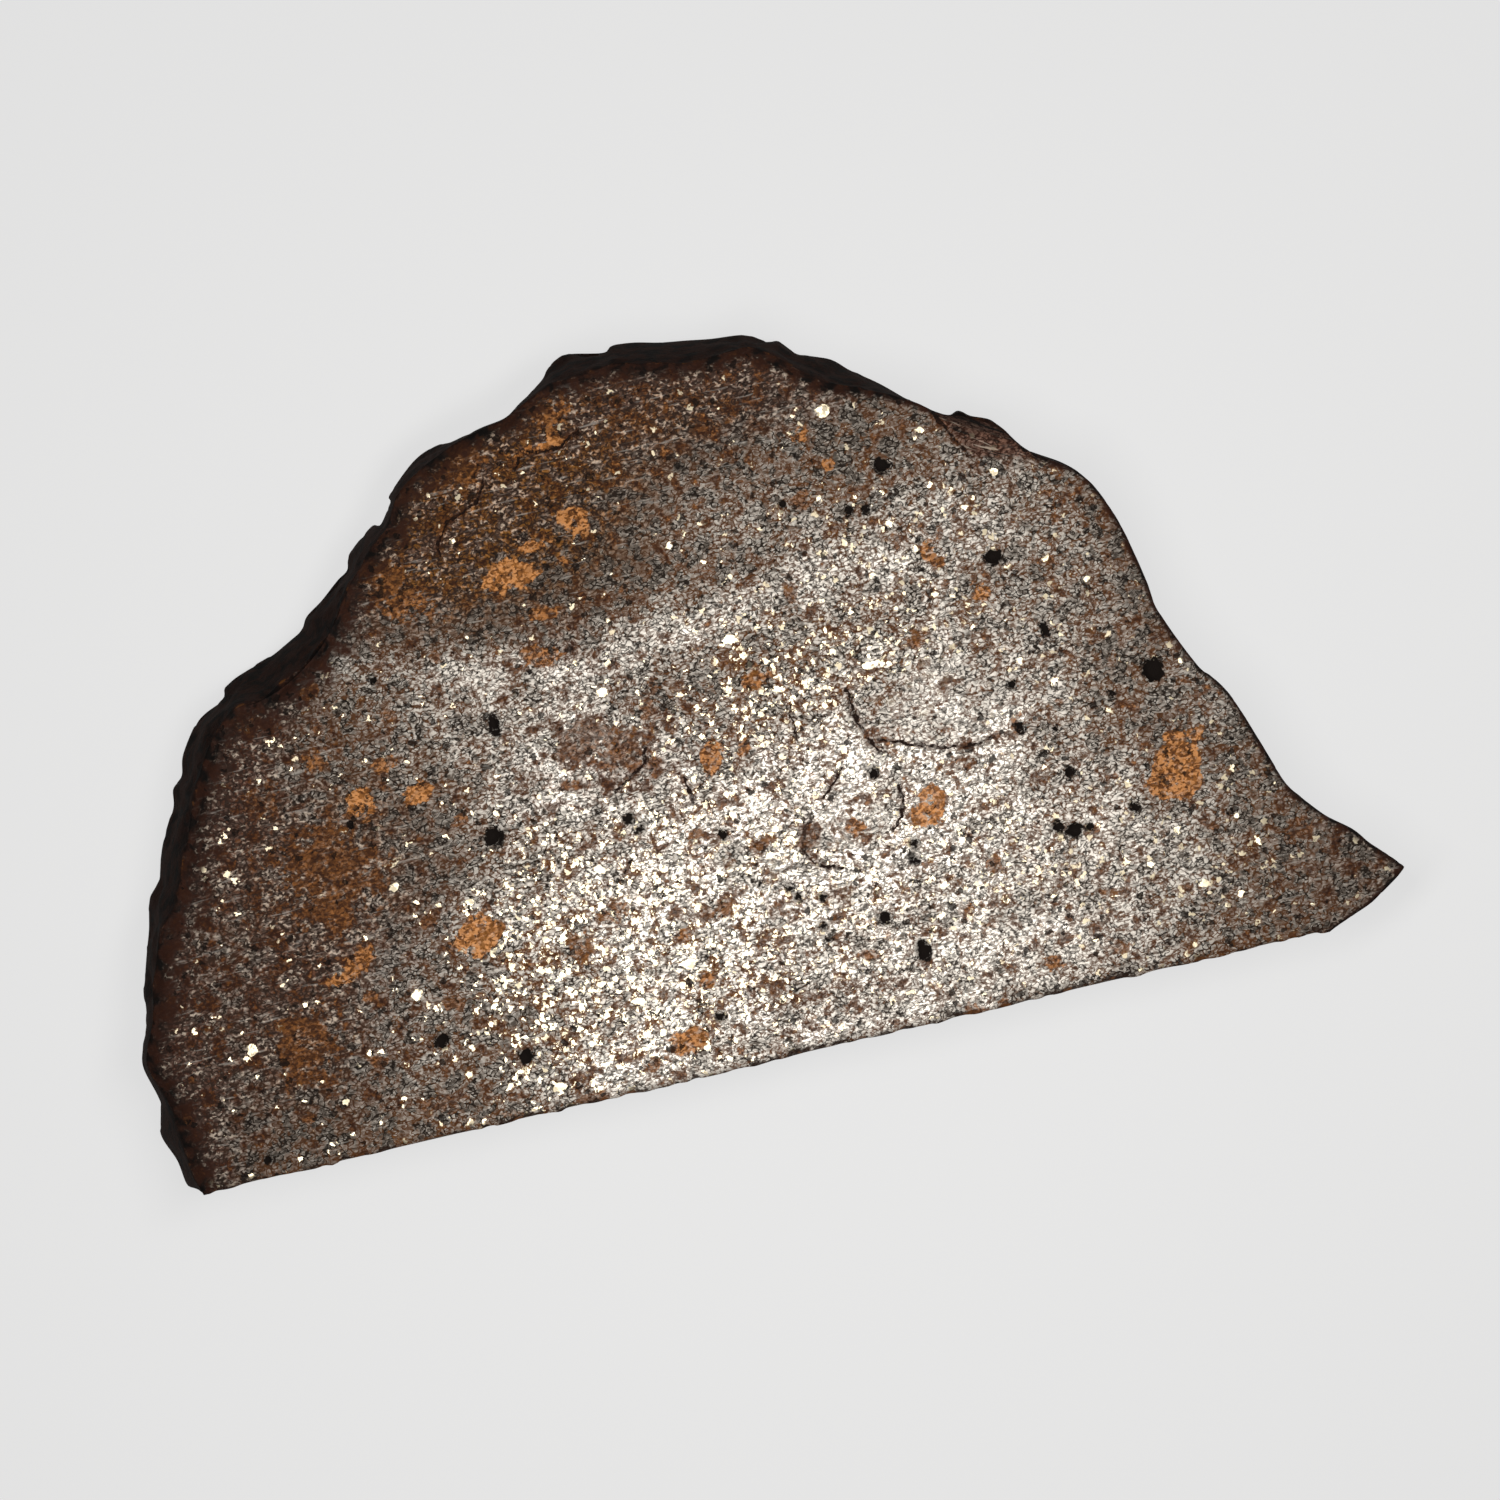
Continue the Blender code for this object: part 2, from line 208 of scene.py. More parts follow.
def filledGrid(loop, columns, rows):
    # Coons patch: the blend of bottom and top sides + that of left and right - that of the corners.
    # Then each inner point moves to the mean of its four neighbours, over and over, which undoes folds.
    closed = np.vstack([loop, loop[:1]])
    bottom = closed[:columns + 1]
    right = closed[columns:columns + rows + 1]
    top = closed[columns + rows:2 * columns + rows + 1][::-1]
    left = closed[2 * columns + rows:][::-1]
    u = np.linspace(0, 1, columns + 1)[None, :, None]
    v = np.linspace(0, 1, rows + 1)[:, None, None]
    sides = (1 - v) * bottom[None] + v * top[None] + (1 - u) * left[:, None] + u * right[:, None]
    corners = ((1 - u) * (1 - v) * bottom[0] + u * (1 - v) * bottom[-1]
               + (1 - u) * v * top[0] + u * v * top[-1])
    grid = sides - corners
    for _ in range(sliceSize["easingRounds"]):
        grid[1:-1, 1:-1] = (grid[:-2, 1:-1] + grid[2:, 1:-1] + grid[1:-1, :-2] + grid[1:-1, 2:]) / 4
    return grid.reshape(-1, loop.shape[1])


# What shows on the cut face, read off the photograph and given in millimetres.
cutFace = {
    "waviness": (1.3, 0.012),       # size and height of the gentle hollows that lapping leaves
    "grainRelief": (0.42, 0.01),    # and of the relief of the grain
    "arrisWear": (0.35, 0.22),      # how far in and how deep the natural edge is rubbed down
    "sawnArrisWear": (0.13, 0.09),
    "wearChange": (1.1, 0.8),       # size and share of the changes in that wear
    "wobbleSizes": (1.7, 0.6),      # coarse and fine noise that makes every outline uneven,
    "wobbles": {                    # and how much of each goes into which outline
        "rust": (0.4, 0.1), "pits": (0.25, 0.03), "grains": (0.35, 0.1), "clasts": (0.3, 0.1),
        "cracks": (0.08, 0.09),
    },
    "farthest": 6.0,                # distances from the edges aren't told apart beyond this
    # x, y, half width, half height
    "pits": [
        (45.8, 22.0, 0.55, 0.42), (36.4, 5.7, 0.42, 0.4), (38.0, 3.7, 0.35, 0.5),
        (17.5, 3.1, 0.47, 0.4), (41.4, 27.7, 0.5, 0.45), (52.3, 14.8, 0.6, 0.7), (46.7, 7.8, 0.47, 0.4),
        (45.9, 8.2, 0.26, 0.26), (47.4, 7.8, 0.3, 0.24), (47.1, 10.7, 0.28, 0.33),
        (49.9, 8.3, 0.25, 0.3), (38.8, 9.0, 0.28, 0.23), (38.6, 8.2, 0.25, 0.28),
        (33.4, 6.0, 0.25, 0.25), (33.5, 5.4, 0.23, 0.23), (37.6, 12.9, 0.25, 0.3),
        (47.5, 18.0, 0.23, 0.42), (45.3, 15.6, 0.23, 0.23), (46.9, 13.0, 0.23, 0.23),
        (50.0, 14.0, 0.23, 0.23), (50.2, 17.3, 0.2, 0.2), (36.2, 26.9, 0.25, 0.23),
        (39.3, 25.9, 0.25, 0.3), (40.2, 25.7, 0.25, 0.23), (19.7, 19.6, 0.28, 0.57),
        (18.4, 14.2, 0.48, 0.48), (27.4, 2.8, 0.28, 0.28), (13.6, 4.8, 0.35, 0.3),
        (3.8, 1.0, 0.23, 0.23), (11.6, 16.3, 0.23, 0.23), (14.3, 23.1, 0.23, 0.28),
        (32.2, 8.3, 0.25, 0.23), (30.9, 8.7, 0.23, 0.23), (32.5, 7.7, 0.23, 0.23),
        (33.7, 7.4, 0.23, 0.23), (29.6, 11.6, 0.25, 0.25), (25.2, 13.4, 0.3, 0.25),
        (25.6, 12.8, 0.3, 0.25), (54.4, 7.0, 0.23, 0.23), (45.2, 13.4, 0.28, 0.4),
    ],
    "pitDepth": 0.3375,
    # half width, depth, and the points that the crack passes
    "cracks": [
        (0.12, 0.36, [(37.3, 17.1), (37.3, 15.9), (37.6, 14.8), (38.1, 13.9)]),
        (0.09, 0.26, [(38.2, 14.4), (39.0, 14.2), (39.8, 13.8), (41.0, 13.4), (42.7, 13.1),
                      (43.9, 13.3)]),
        (0.11, 0.28, [(38.7, 12.0), (38.7, 11.0), (38.4, 10.4), (37.9, 9.9)]),
        (0.09, 0.20, [(36.0, 13.4), (35.6, 12.9), (34.9, 12.3)]),
        (0.14, 0.13, [(34.0, 11.5), (33.5, 10.8), (33.3, 9.8)]),
        (0.09, 0.22, [(33.3, 9.7), (33.8, 9.1), (34.9, 8.7)]),
        (0.11, 0.28, [(26.8, 16.7), (26.5, 15.9), (25.7, 15.5), (25.0, 15.0)]),
        (0.13, 0.36, [(23.7, 31.7), (24.1, 32.4), (25.2, 32.1), (26.0, 32.3), (27.1, 32.9)]),
        (0.10, 0.30, [(21.9, 31.4), (21.3, 30.4), (19.7, 29.9), (19.0, 29.0), (19.0, 28.4)]),
        (0.10, 0.20, [(28.3, 14.8), (28.5, 13.5)]),
        (0.09, 0.20, [(34.3, 17.0), (34.1, 15.4)]),
        (0.09, 0.18, [(24.9, 11.5), (24.4, 10.9)]),
        (0.10, 0.22, [(44.5, 29.7), (45.1, 28.3), (45.8, 27.1)]),
    ],
    "crackRelief": (0.25, 1.25),    # the mesh's share of the depth, and its reach in half widths
    # nicks along the sawn edge: x, half width, and how far they reach into the cut face
    "nicks": [
        (8.3, 0.35, 0.2), (16.3, 0.5, 0.24), (20.5, 0.6, 0.24), (22.3, 0.4, 0.26), (30.6, 0.65, 0.36),
        (36.2, 0.4, 0.26), (39.6, 0.5, 0.3), (41.3, 0.35, 0.26), (44.6, 0.5, 0.32), (47.0, 0.45, 0.3),
        (51.3, 0.45, 0.28),
    ],
    "nickDepth": 0.45,
    "nickDarkness": 0.6,            # how far inwards a nick moves the dark line of the arris
    "chew": [(1.3, 0.11), (0.5, 0.07)],     # spacing and depth of the bites that the saw left
    "chewFades": ((0.2, 0.8), (57.0, 57.6)),        # they come in and die out along x here
    # three corners of the chip's floor with their heights, and how it falls outwards
    "chipFloor": [(44.6, 29.6, 4.60), (45.9, 27.1, 4.72), (50.4, 26.0, 4.96)],
    "chipOutside": (48.6, 27.5, 3.90),
    "chipLedges": (0.55, 0.09),     # spacing and drop of the little steps on it
    "ledgeAcross": (0.53, 0.85),    # which way they follow each other, and how far they wander
    "ledgeWander": (1.5, 0.12),
    "chipRoughness": (0.7, 0.04),
    # how far the rind's darkness creeps in, at the left and at the right, and the x of both
    "darkMargin": (2.2, 0.9, 5, 45),
    "marginNarrowing": (1.7, 36, 46),       # the whole margin is this much narrower again at the right
    "firmRust": (0.55, 0.14),       # rust of at least this tone has an edge this soft,
    "softRust": 0.5,                # and duller rust one of this share of its smaller half width
    "rustSink": 0.03,
    # x, y, half width, half height, turn in degrees, tone from dark rust (0) to orange (1)
    "rust": [
        (40.1, 10.7, 0.95, 1.4, -9, 0.85), (52.4, 9.6, 1.7, 1.95, -17, 0.72),
        (16.7, 9.6, 1.2, 1.1, -38, 0.78), (22.3, 26.6, 1.4, 0.7, -1, 0.8),
        (23.7, 27.8, 0.75, 0.45, 7, 0.7), (25.9, 28.4, 0.7, 0.62, -13, 0.72),
        (23.3, 24.3, 0.75, 0.3, -5, 0.6), (22.6, 22.4, 0.95, 0.57, -13, 0.58),
        (25.5, 2.0, 0.75, 0.65, -13, 0.7), (7.0, 5.9, 1.52, 2.05, -13, 0.42),
        (10.0, 14.3, 2.95, 2.2, -3, 0.4), (10.2, 11.9, 0.7, 1.1, -23, 0.48),
        (10.2, 9.4, 1.4, 0.55, 32, 0.66), (12.4, 17.3, 0.65, 0.5, -33, 0.82),
        (15.3, 17.1, 0.9, 0.55, 2, 0.76), (13.9, 18.9, 0.55, 0.4, -13, 0.58),
        (10.6, 19.8, 0.5, 0.4, -13, 0.55), (8.0, 18.4, 0.33, 0.9, -13, 0.36),
        (7.3, 18.5, 0.45, 0.65, -13, 0.18), (11.1, 23.3, 0.5, 0.35, -13, 0.5),
        (7.8, 22.3, 1.1, 0.75, -13, 0.12), (29.9, 15.6, 0.4, 0.85, -13, 0.66),
        (32.8, 18.7, 0.62, 0.45, -3, 0.6), (31.6, 15.5, 0.4, 0.35, -13, 0.58),
        (22.7, 15.7, 0.45, 0.35, -13, 0.5), (24.5, 17.6, 2.3, 0.85, -9, 0.34),
        (27.1, 4.8, 0.45, 0.4, -13, 0.6), (26.4, 7.2, 0.4, 0.4, -13, 0.6),
        (28.2, 11.8, 0.4, 0.5, -13, 0.5), (17.0, 15.3, 0.5, 0.45, -13, 0.5),
        (17.6, 23.4, 0.4, 0.45, -13, 0.4), (14.6, 21.2, 0.5, 0.35, -13, 0.4),
        (25.8, 34.1, 1.45, 1.0, -13, 0.55), (21.0, 32.4, 1.15, 1.25, -13, 0.45),
        (16.1, 27.6, 1.4, 1.4, -13, 0.5), (17.1, 26.3, 1.5, 0.95, -13, 0.55),
        (37.8, 30.1, 0.45, 0.55, -13, 0.62), (38.9, 28.3, 0.33, 0.33, -13, 0.62),
        (37.2, 26.7, 0.45, 0.85, -13, 0.4), (35.5, 22.5, 0.35, 0.55, -13, 0.4),
        (42.7, 23.0, 0.4, 0.55, -3, 0.66), (43.1, 22.4, 0.35, 0.28, -13, 0.66),
        (44.9, 20.4, 0.5, 0.35, -13, 0.7), (41.1, 18.9, 0.55, 0.5, -13, 0.5),
        (45.1, 13.6, 0.35, 0.65, -13, 0.55), (47.4, 14.2, 0.4, 0.35, -13, 0.4),
        (40.8, 5.3, 0.5, 0.4, -13, 0.55), (35.5, 4.1, 0.7, 0.5, -13, 0.5),
        (42.4, 7.1, 0.4, 0.3, -13, 0.5), (47.5, 4.5, 0.4, 0.25, -13, 0.5),
        (47.6, 1.7, 0.75, 0.6, -13, 0.4), (44.1, 1.6, 0.45, 0.35, -13, 0.55),
        (41.3, 4.2, 0.3, 0.3, -13, 0.5), (50.9, 0.5, 0.35, 0.25, -13, 0.5),
        (41.3, 0.3, 0.35, 0.3, -13, 0.5), (16.3, 0.4, 0.55, 0.25, 0, 0.4),
        (20.5, 0.3, 0.65, 0.23, 0, 0.45), (23.7, 1.3, 0.5, 0.35, 0, 0.5), (39.6, 0.3, 0.5, 0.3, 0, 0.5),
        (0.3, 3.8, 0.35, 0.35, -13, 0.75), (1.0, 5.7, 0.3, 0.3, -13, 0.5),
        (1.0, 9.9, 0.35, 0.25, -13, 0.4), (6.2, 2.5, 0.45, 0.3, -13, 0.4),
        (10.2, 4.4, 0.45, 0.35, -13, 0.45), (12.7, 1.7, 0.75, 0.5, -13, 0.3),
        (14.5, 6.5, 0.45, 0.35, -13, 0.4), (10.6, 7.8, 0.4, 0.3, -13, 0.5),
        (14.3, 10.7, 0.5, 0.35, -13, 0.4), (36.1, 10.5, 0.55, 0.55, -13, 0.62),
        (41.4, 27.6, 0.38, 0.35, -13, 0.6), (57.7, 5.4, 0.65, 0.4, -13, 0.28),
        (55.2, 8.9, 0.35, 0.25, -13, 0.35), (38.0, 19.6, 0.35, 0.25, -13, 0.45),
        (27.3, 24.7, 0.35, 0.25, -13, 0.4), (27.7, 19.4, 0.4, 0.5, -13, 0.4),
        (27.2, 18.4, 0.55, 0.75, -23, 0.38), (25.0, 32.5, 0.95, 0.24, 5, 1.0),
        (24.8, 26.8, 0.35, 0.25, -13, 0.6), (49.6, 16.9, 0.25, 0.3, -13, 0.35),
        (33.6, 10.7, 0.36, 1.15, -12, 0.25), (28.6, 8.1, 0.9, 0.45, -10, 0.45),
        (23.3, 9.0, 0.8, 0.5, 10, 0.5), (21.5, 7.9, 0.6, 0.9, 0, 0.5),
        (25.4, 16.4, 1.3, 0.85, -20, 0.42), (31.4, 10.7, 0.7, 0.4, -10, 0.45),
    ],
    # larger metal grains: x, y, half width, half height
    "grains": [
        (13.3, 14.0, 0.35, 0.2), (13.0, 12.8, 0.23, 0.17), (16.7, 17.1, 0.2, 0.2),
        (15.2, 14.0, 0.2, 0.17), (17.0, 20.2, 0.2, 0.17), (16.5, 11.2, 0.23, 0.17),
        (6.7, 12.3, 0.2, 0.2), (4.3, 6.5, 0.3, 0.28), (12.9, 7.3, 0.2, 0.23), (8.2, 2.9, 0.2, 0.17),
        (11.0, 2.0, 0.2, 0.23), (30.2, 26.2, 0.2, 0.2), (25.4, 19.9, 0.3, 0.23), (24.3, 21.6, 0.2, 0.2),
        (28.9, 23.4, 0.2, 0.2), (26.4, 23.3, 0.17, 0.17), (39.2, 31.0, 0.3, 0.23),
        (43.7, 29.0, 0.2, 0.13), (43.3, 28.7, 0.16, 0.12), (38.0, 26.8, 0.17, 0.17),
        (46.8, 26.1, 0.17, 0.17), (45.7, 18.8, 0.2, 0.17), (46.4, 18.6, 0.2, 0.17),
        (50.1, 19.9, 0.2, 0.17), (50.0, 5.3, 0.17, 0.17), (52.3, 3.8, 0.3, 0.2), (53.2, 2.4, 0.2, 0.17),
        (54.7, 6.7, 0.2, 0.2), (53.8, 14.9, 0.23, 0.2), (57.4, 1.6, 0.2, 0.2), (20.4, 21.2, 0.25, 0.15),
        (32.1, 21.0, 0.3, 0.2), (34.0, 18.0, 0.4, 0.22), (38.7, 18.2, 0.45, 0.2),
        (31.8, 17.0, 0.36, 0.2), (26.5, 5.7, 0.4, 0.25), (23.6, 4.5, 0.45, 0.25),
        (18.8, 1.2, 0.3, 0.25), (23.2, 11.3, 0.3, 0.23), (19.7, 8.5, 0.25, 0.25),
        (18.0, 6.6, 0.25, 0.2), (27.6, 8.4, 0.3, 0.23), (31.0, 9.4, 0.25, 0.2), (42.1, 11.5, 0.3, 0.17),
        (44.2, 5.8, 0.23, 0.17), (39.2, 16.2, 0.23, 0.17),
    ],
    "leastMetal": 0.03,
    # x, y, reach along, reach across, strength: where metal grains crowd
    "metalZones": [
        (26.9, 7.3, 6.5, 4.5, 1.0), (33.5, 18.1, 4.5, 3.0, 0.9), (39.2, 18.3, 3.0, 1.5, 0.8),
        (23.6, 4.5, 6.0, 3.0, 0.9), (31.3, 10.9, 3.5, 2.5, 0.7), (21.1, 11.2, 3.0, 3.0, 0.7),
        (41.6, 6.4, 7.5, 3.5, 0.4), (39.3, 25.4, 4.5, 3.0, 0.15), (40.9, 21.0, 6.0, 3.0, 0.12),
        (45.0, 16.9, 4.0, 3.0, 0.12), (19.4, 1.9, 2.5, 2.0, 0.6), (18.3, 7.8, 2.5, 2.5, 0.7),
        (53.0, 4.0, 3.0, 2.0, 0.15),
    ],
    # the same for amber-brown weathering, and for stone that took a polish from the lap, whose grains
    # are also drawn paler there as painted glare
    "amberZones": [
        (24.5, 31.5, 6.5, 4.0, 1.0), (18.5, 28.8, 4.0, 3.6, 1.0), (24.0, 27.0, 4.5, 2.8, 0.8),
        (10.0, 13.8, 4.0, 3.2, 0.45), (13.5, 17.6, 3.5, 2.0, 0.35), (7.0, 5.9, 2.2, 2.6, 0.4),
        (34.0, 32.5, 4.0, 2.0, 0.35),
    ],
    "polishAndGlareZones": [
        (24.0, 6.0, 7.0, 6.5, 0.65), (30.5, 11.5, 7.0, 6.5, 0.7), (39.0, 8.0, 8.0, 8.0, 0.75),
        (38.3, 23.3, 5.5, 3.0, 0.6), (45.5, 24.5, 4.0, 3.5, 0.55), (42.0, 2.0, 8.0, 3.0, 0.5),
        (29.0, 0.8, 9.0, 2.2, 0.5), (19.5, 1.5, 4.0, 2.0, 0.3), (50.0, 20.0, 2.5, 4.0, 0.2),
        (29.5, 22.0, 4.5, 1.8, 0.65), (42.5, 15.5, 6.5, 5.0, 0.7), (49.5, 6.0, 6.0, 5.0, 0.6),
        (13.5, 24.0, 2.5, 1.3, 0.3), (17.3, 22.8, 3.2, 1.4, 0.5), (21.5, 21.6, 3.2, 1.5, 0.6),
        (21.5, 16.5, 4.5, 4.0, 0.65), (16.0, 19.5, 3.0, 2.5, 0.3), (17.5, 10.0, 3.0, 3.0, 0.3),
        (12.0, 6.5, 3.2, 7.0, 0.28), (25.0, 18.0, 3.0, 3.5, 0.35), (9.4, 18.0, 3.0, 2.5, 0.22),
        (33.0, 27.5, 4.5, 2.2, 0.3), (38.3, 31.5, 3.0, 2.0, 0.25), (54.3, 12.7, 2.0, 3.0, 0.25),
    ],
    # x, y, reach along, reach across, strength: broad weathering stains
    "stainZones": [
        (24.0, 31.0, 7.0, 4.5, 0.9), (17.9, 28.4, 4.0, 3.5, 0.9), (9.9, 13.8, 6.5, 5.5, 0.8),
        (6.6, 6.4, 4.5, 5.0, 0.8), (5.4, 20.8, 3.5, 5.5, 1.0), (0.8, 5.7, 2.5, 7.0, 0.8),
        (32.0, 34.0, 8.0, 2.5, 1.0), (59.5, 2.8, 3.5, 2.5, 0.4), (25.4, 16.4, 4.5, 3.0, 0.5),
        (36.1, 31.4, 4.0, 1.5, 0.4), (48.5, 27.4, 3.0, 1.2, 0.9), (8.1, 23.5, 2.5, 2.5, 0.7),
        (23.8, 22.9, 3.0, 2.0, 0.4), (52.6, 10.5, 2.5, 3.0, 0.35),
    ],
    # x, y, half width, half height, tone: pale fine-grained clasts above 0, dark ones below
    "clasts": [
        (36.0, 11.1, 1.9, 1.7, 0.8), (31.6, 9.4, 0.7, 0.6, 0.6), (31.5, 7.1, 0.6, 0.6, 0.6),
        (41.5, 15.6, 3.8, 2.0, 0.35), (42.7, 4.3, 1.0, 0.8, 0.3), (29.4, 10.4, 0.9, 0.7, 0.5),
        (34.6, 7.2, 0.8, 0.7, 0.4), (46.5, 20.5, 1.2, 0.9, 0.3), (28.2, 25.9, 1.2, 0.95, -1.0),
        (29.3, 28.8, 1.0, 1.0, -0.5), (9.3, 11.4, 1.0, 1.0, -0.4),
    ],
}

# What the rear face and the wall carry: the stone, without the marks that were read off the front.
plainStone = {
    "rust": 0.0, "rustTone": 0.3, "pit": -1.0, "grain": -1.0, "crackAcross": 3.0, "crackDepth": 0.0,
    "metal": 0.45, "stain": 0.42, "amber": 0.0, "polishAndGlare": 0.45, "clast": 0.0, "edge": 0.0, "chip": 0.0,
}


def insideEllipses(x, y, shapes, coarse, fine):
    # For each ellipse: (1 - distance in radii + coarse wobble) x the smaller radius + fine wobble, so
    # about the mm inside its edge. Returns the largest of them, and which ellipse gave it.
    best = np.full_like(x, -9.0)
    owner = np.zeros(len(x), dtype=int)
    for number, shape in enumerate(shapes):
        turn = math.radians(shape[4]) if len(shape) > 5 else 0.0
        dx, dy = x - shape[0], y - shape[1]
        across = (dx * math.cos(turn) + dy * math.sin(turn)) / shape[2]
        up = (dy * math.cos(turn) - dx * math.sin(turn)) / shape[3]
        inside = (1 - np.hypot(across, up) + coarse) * min(shape[2], shape[3]) + fine
        owner = np.where(inside > best, number, owner)
        best = np.maximum(best, inside)
    return best, owner


def crackFields(x, y, cracks):
    # Signed distance across the nearest crack in half widths, and its depth in mm, which fades out
    # beyond the crack's ends and away from it.
    nearest = np.full_like(x, 9.0)
    across = np.full_like(x, 3.0)
    depth = np.zeros_like(x)
    for halfWidth, deep, points in cracks:
        for start, end in zip(points[:-1], points[1:]):
            run = np.subtract(end, start)
            length = math.hypot(*run)
            t = ((x - start[0]) * run[0] + (y - start[1]) * run[1]) / length ** 2
            side = ((y - start[1]) * run[0] - (x - start[0]) * run[1]) / length
            beyond = np.maximum(np.maximum(-t, t - 1), 0) * length
            distance = np.hypot(side, beyond)
            closer = distance < nearest
            nearest = np.where(closer, distance, nearest)
            across = np.where(closer, np.clip(side / halfWidth, -3, 3), across)
            depth = np.where(closer, deep * ramp(-distance, -4 * halfWidth, -2 * halfWidth)
                             * (beyond < halfWidth), depth)
    return across, depth


def zoneSum(x, y, zones):
    # Sum of hills, each strength x exp(-distance squared), with the distance in the hill's reaches.
    total = np.zeros_like(x)
    for zone in zones:
        total += zone[4] * np.exp(-((x - zone[0]) / zone[2]) ** 2 - ((y - zone[1]) / zone[3]) ** 2)
    return total


def edgeDistance(x, y, edge):
    # Distance in mm to the nearest of a run of points, the root of the least dx squared + dy squared.
    # It goes by blocks, so that the table of pairs stays small.
    across, up = edge.T[:, None]
    blocks = np.array_split(np.arange(len(x)), max(1, len(x) // 4000))
    return np.concatenate([
        np.sqrt(np.min((x[b, None] - across) ** 2 + (y[b, None] - up) ** 2, axis=1)) for b in blocks
    ])


def faceFields(x, y, naturalEdge, flat):
    # All that a point of a saw face carries: its distances from the edges, how far inside the nearest
    # marked shape it lies, and the sums of the zones. The flat rear face has the stone but no marks.
    level = np.zeros_like(x)
    fields = {}
    farthest = cutFace["farthest"]
    narrowing, start, end = cutFace["marginNarrowing"]
    narrow = 1 + narrowing * ramp(x, start, end)
    fields["naturalGap"] = np.minimum(edgeDistance(x, y, naturalEdge) * narrow, farthest)
    fields["sawGap"] = np.clip(y, 0, farthest)
    if not flat:
        nicked = cutFace["nickDarkness"] * nickBowl(x, y)
        fields["sawGap"] = np.clip(y - sawnChew(x), 0, farthest) - nicked
    wide, slim, start, end = cutFace["darkMargin"]
    reach = wide + (slim - wide) * ramp(x, start, end)
    shade = np.clip(1 - fields["naturalGap"] / reach, 0, 1)
    if flat:
        return fields | {name: level + value for name, value in plainStone.items()} | {"edge": shade}
    fields["edge"] = shade
    fields["chip"] = ramp(insideChip(x, y), -0.05, 0.15)
    coarse, fine = (roughNoise(x, y, level, size, 2, seed)
                    for size, seed in zip(cutFace["wobbleSizes"], (11, 13)))

    def insideShapes(name):
        # The named table's ellipses, with that table's share of the wobble.
        big, small = cutFace["wobbles"][name]
        return insideEllipses(x, y, cutFace[name], big * coarse, small * fine)

    rust, owner = insideShapes("rust")
    tone = np.array([shape[5] for shape in cutFace["rust"]])[owner]
    size = np.array([min(shape[2:4]) for shape in cutFace["rust"]])[owner]
    bright, firm = cutFace["firmRust"]
    soft = np.where(tone > bright, firm, cutFace["softRust"] * size)
    fields["rust"] = np.clip(0.5 + 0.5 * rust / soft, 0, 1)
    fields["rustTone"] = tone
    fields["pit"] = np.clip(insideShapes("pits")[0], -1, 1)
    fields["grain"] = np.clip(insideShapes("grains")[0], -1, 1)
    big, small = cutFace["wobbles"]["cracks"]
    across, depth = crackFields(x + small * fine, y - big * coarse, cutFace["cracks"])
    fields["crackAcross"], fields["crackDepth"] = across, depth
    fields["amber"] = np.clip(zoneSum(x, y, cutFace["amberZones"]), 0, 1)
    metal = zoneSum(x, y, cutFace["metalZones"]) - fields["amber"]
    fields["metal"] = np.clip(cutFace["leastMetal"] + metal, 0, 1)
    fields["stain"] = np.clip(zoneSum(x, y, cutFace["stainZones"]), 0, 1.2)
    fields["polishAndGlare"] = np.clip(zoneSum(x, y, cutFace["polishAndGlareZones"]), 0, 1)
    clast, owner = insideShapes("clasts")
    tone = np.array([shape[4] for shape in cutFace["clasts"]])[owner]
    fields["clast"] = tone * ramp(clast, -0.1, 0.15)
    return fields


def insideChip(x, y):
    # How far inside the chip a point lies, in mm: the smaller distance from its two hinge lines.
    a, b, c = cutFace["chipFloor"]
    sides = []
    for start, end in ((a, b), (b, c)):
        run = (end[0] - start[0], end[1] - start[1])
        sides.append(((y - start[1]) * run[0] - (x - start[0]) * run[1]) / math.hypot(*run))
    return np.minimum(*sides)


def sawnChew(x):
    # How far the sawn arris is bitten back at x: the sum of (noise + 0.4, where positive) x depth.
    level = np.zeros_like(x)
    return sum(deep * np.clip(0.4 + roughNoise(x, level, level, size, 1, 61), 0, 1.2)
               for size, deep in cutFace["chew"])


def nickBowl(x, y):
    # Half ellipses on the sawn edge: sqrt(1 - (distance in half widths)^2), 0 outside.
    bowl = np.zeros_like(x)
    for along, halfWidth, reach in cutFace["nicks"]:
        bowl = np.maximum(bowl, 1 - ((x - along) / halfWidth) ** 2 - (y / reach) ** 2)
    return np.sqrt(np.clip(bowl, 0, 1))


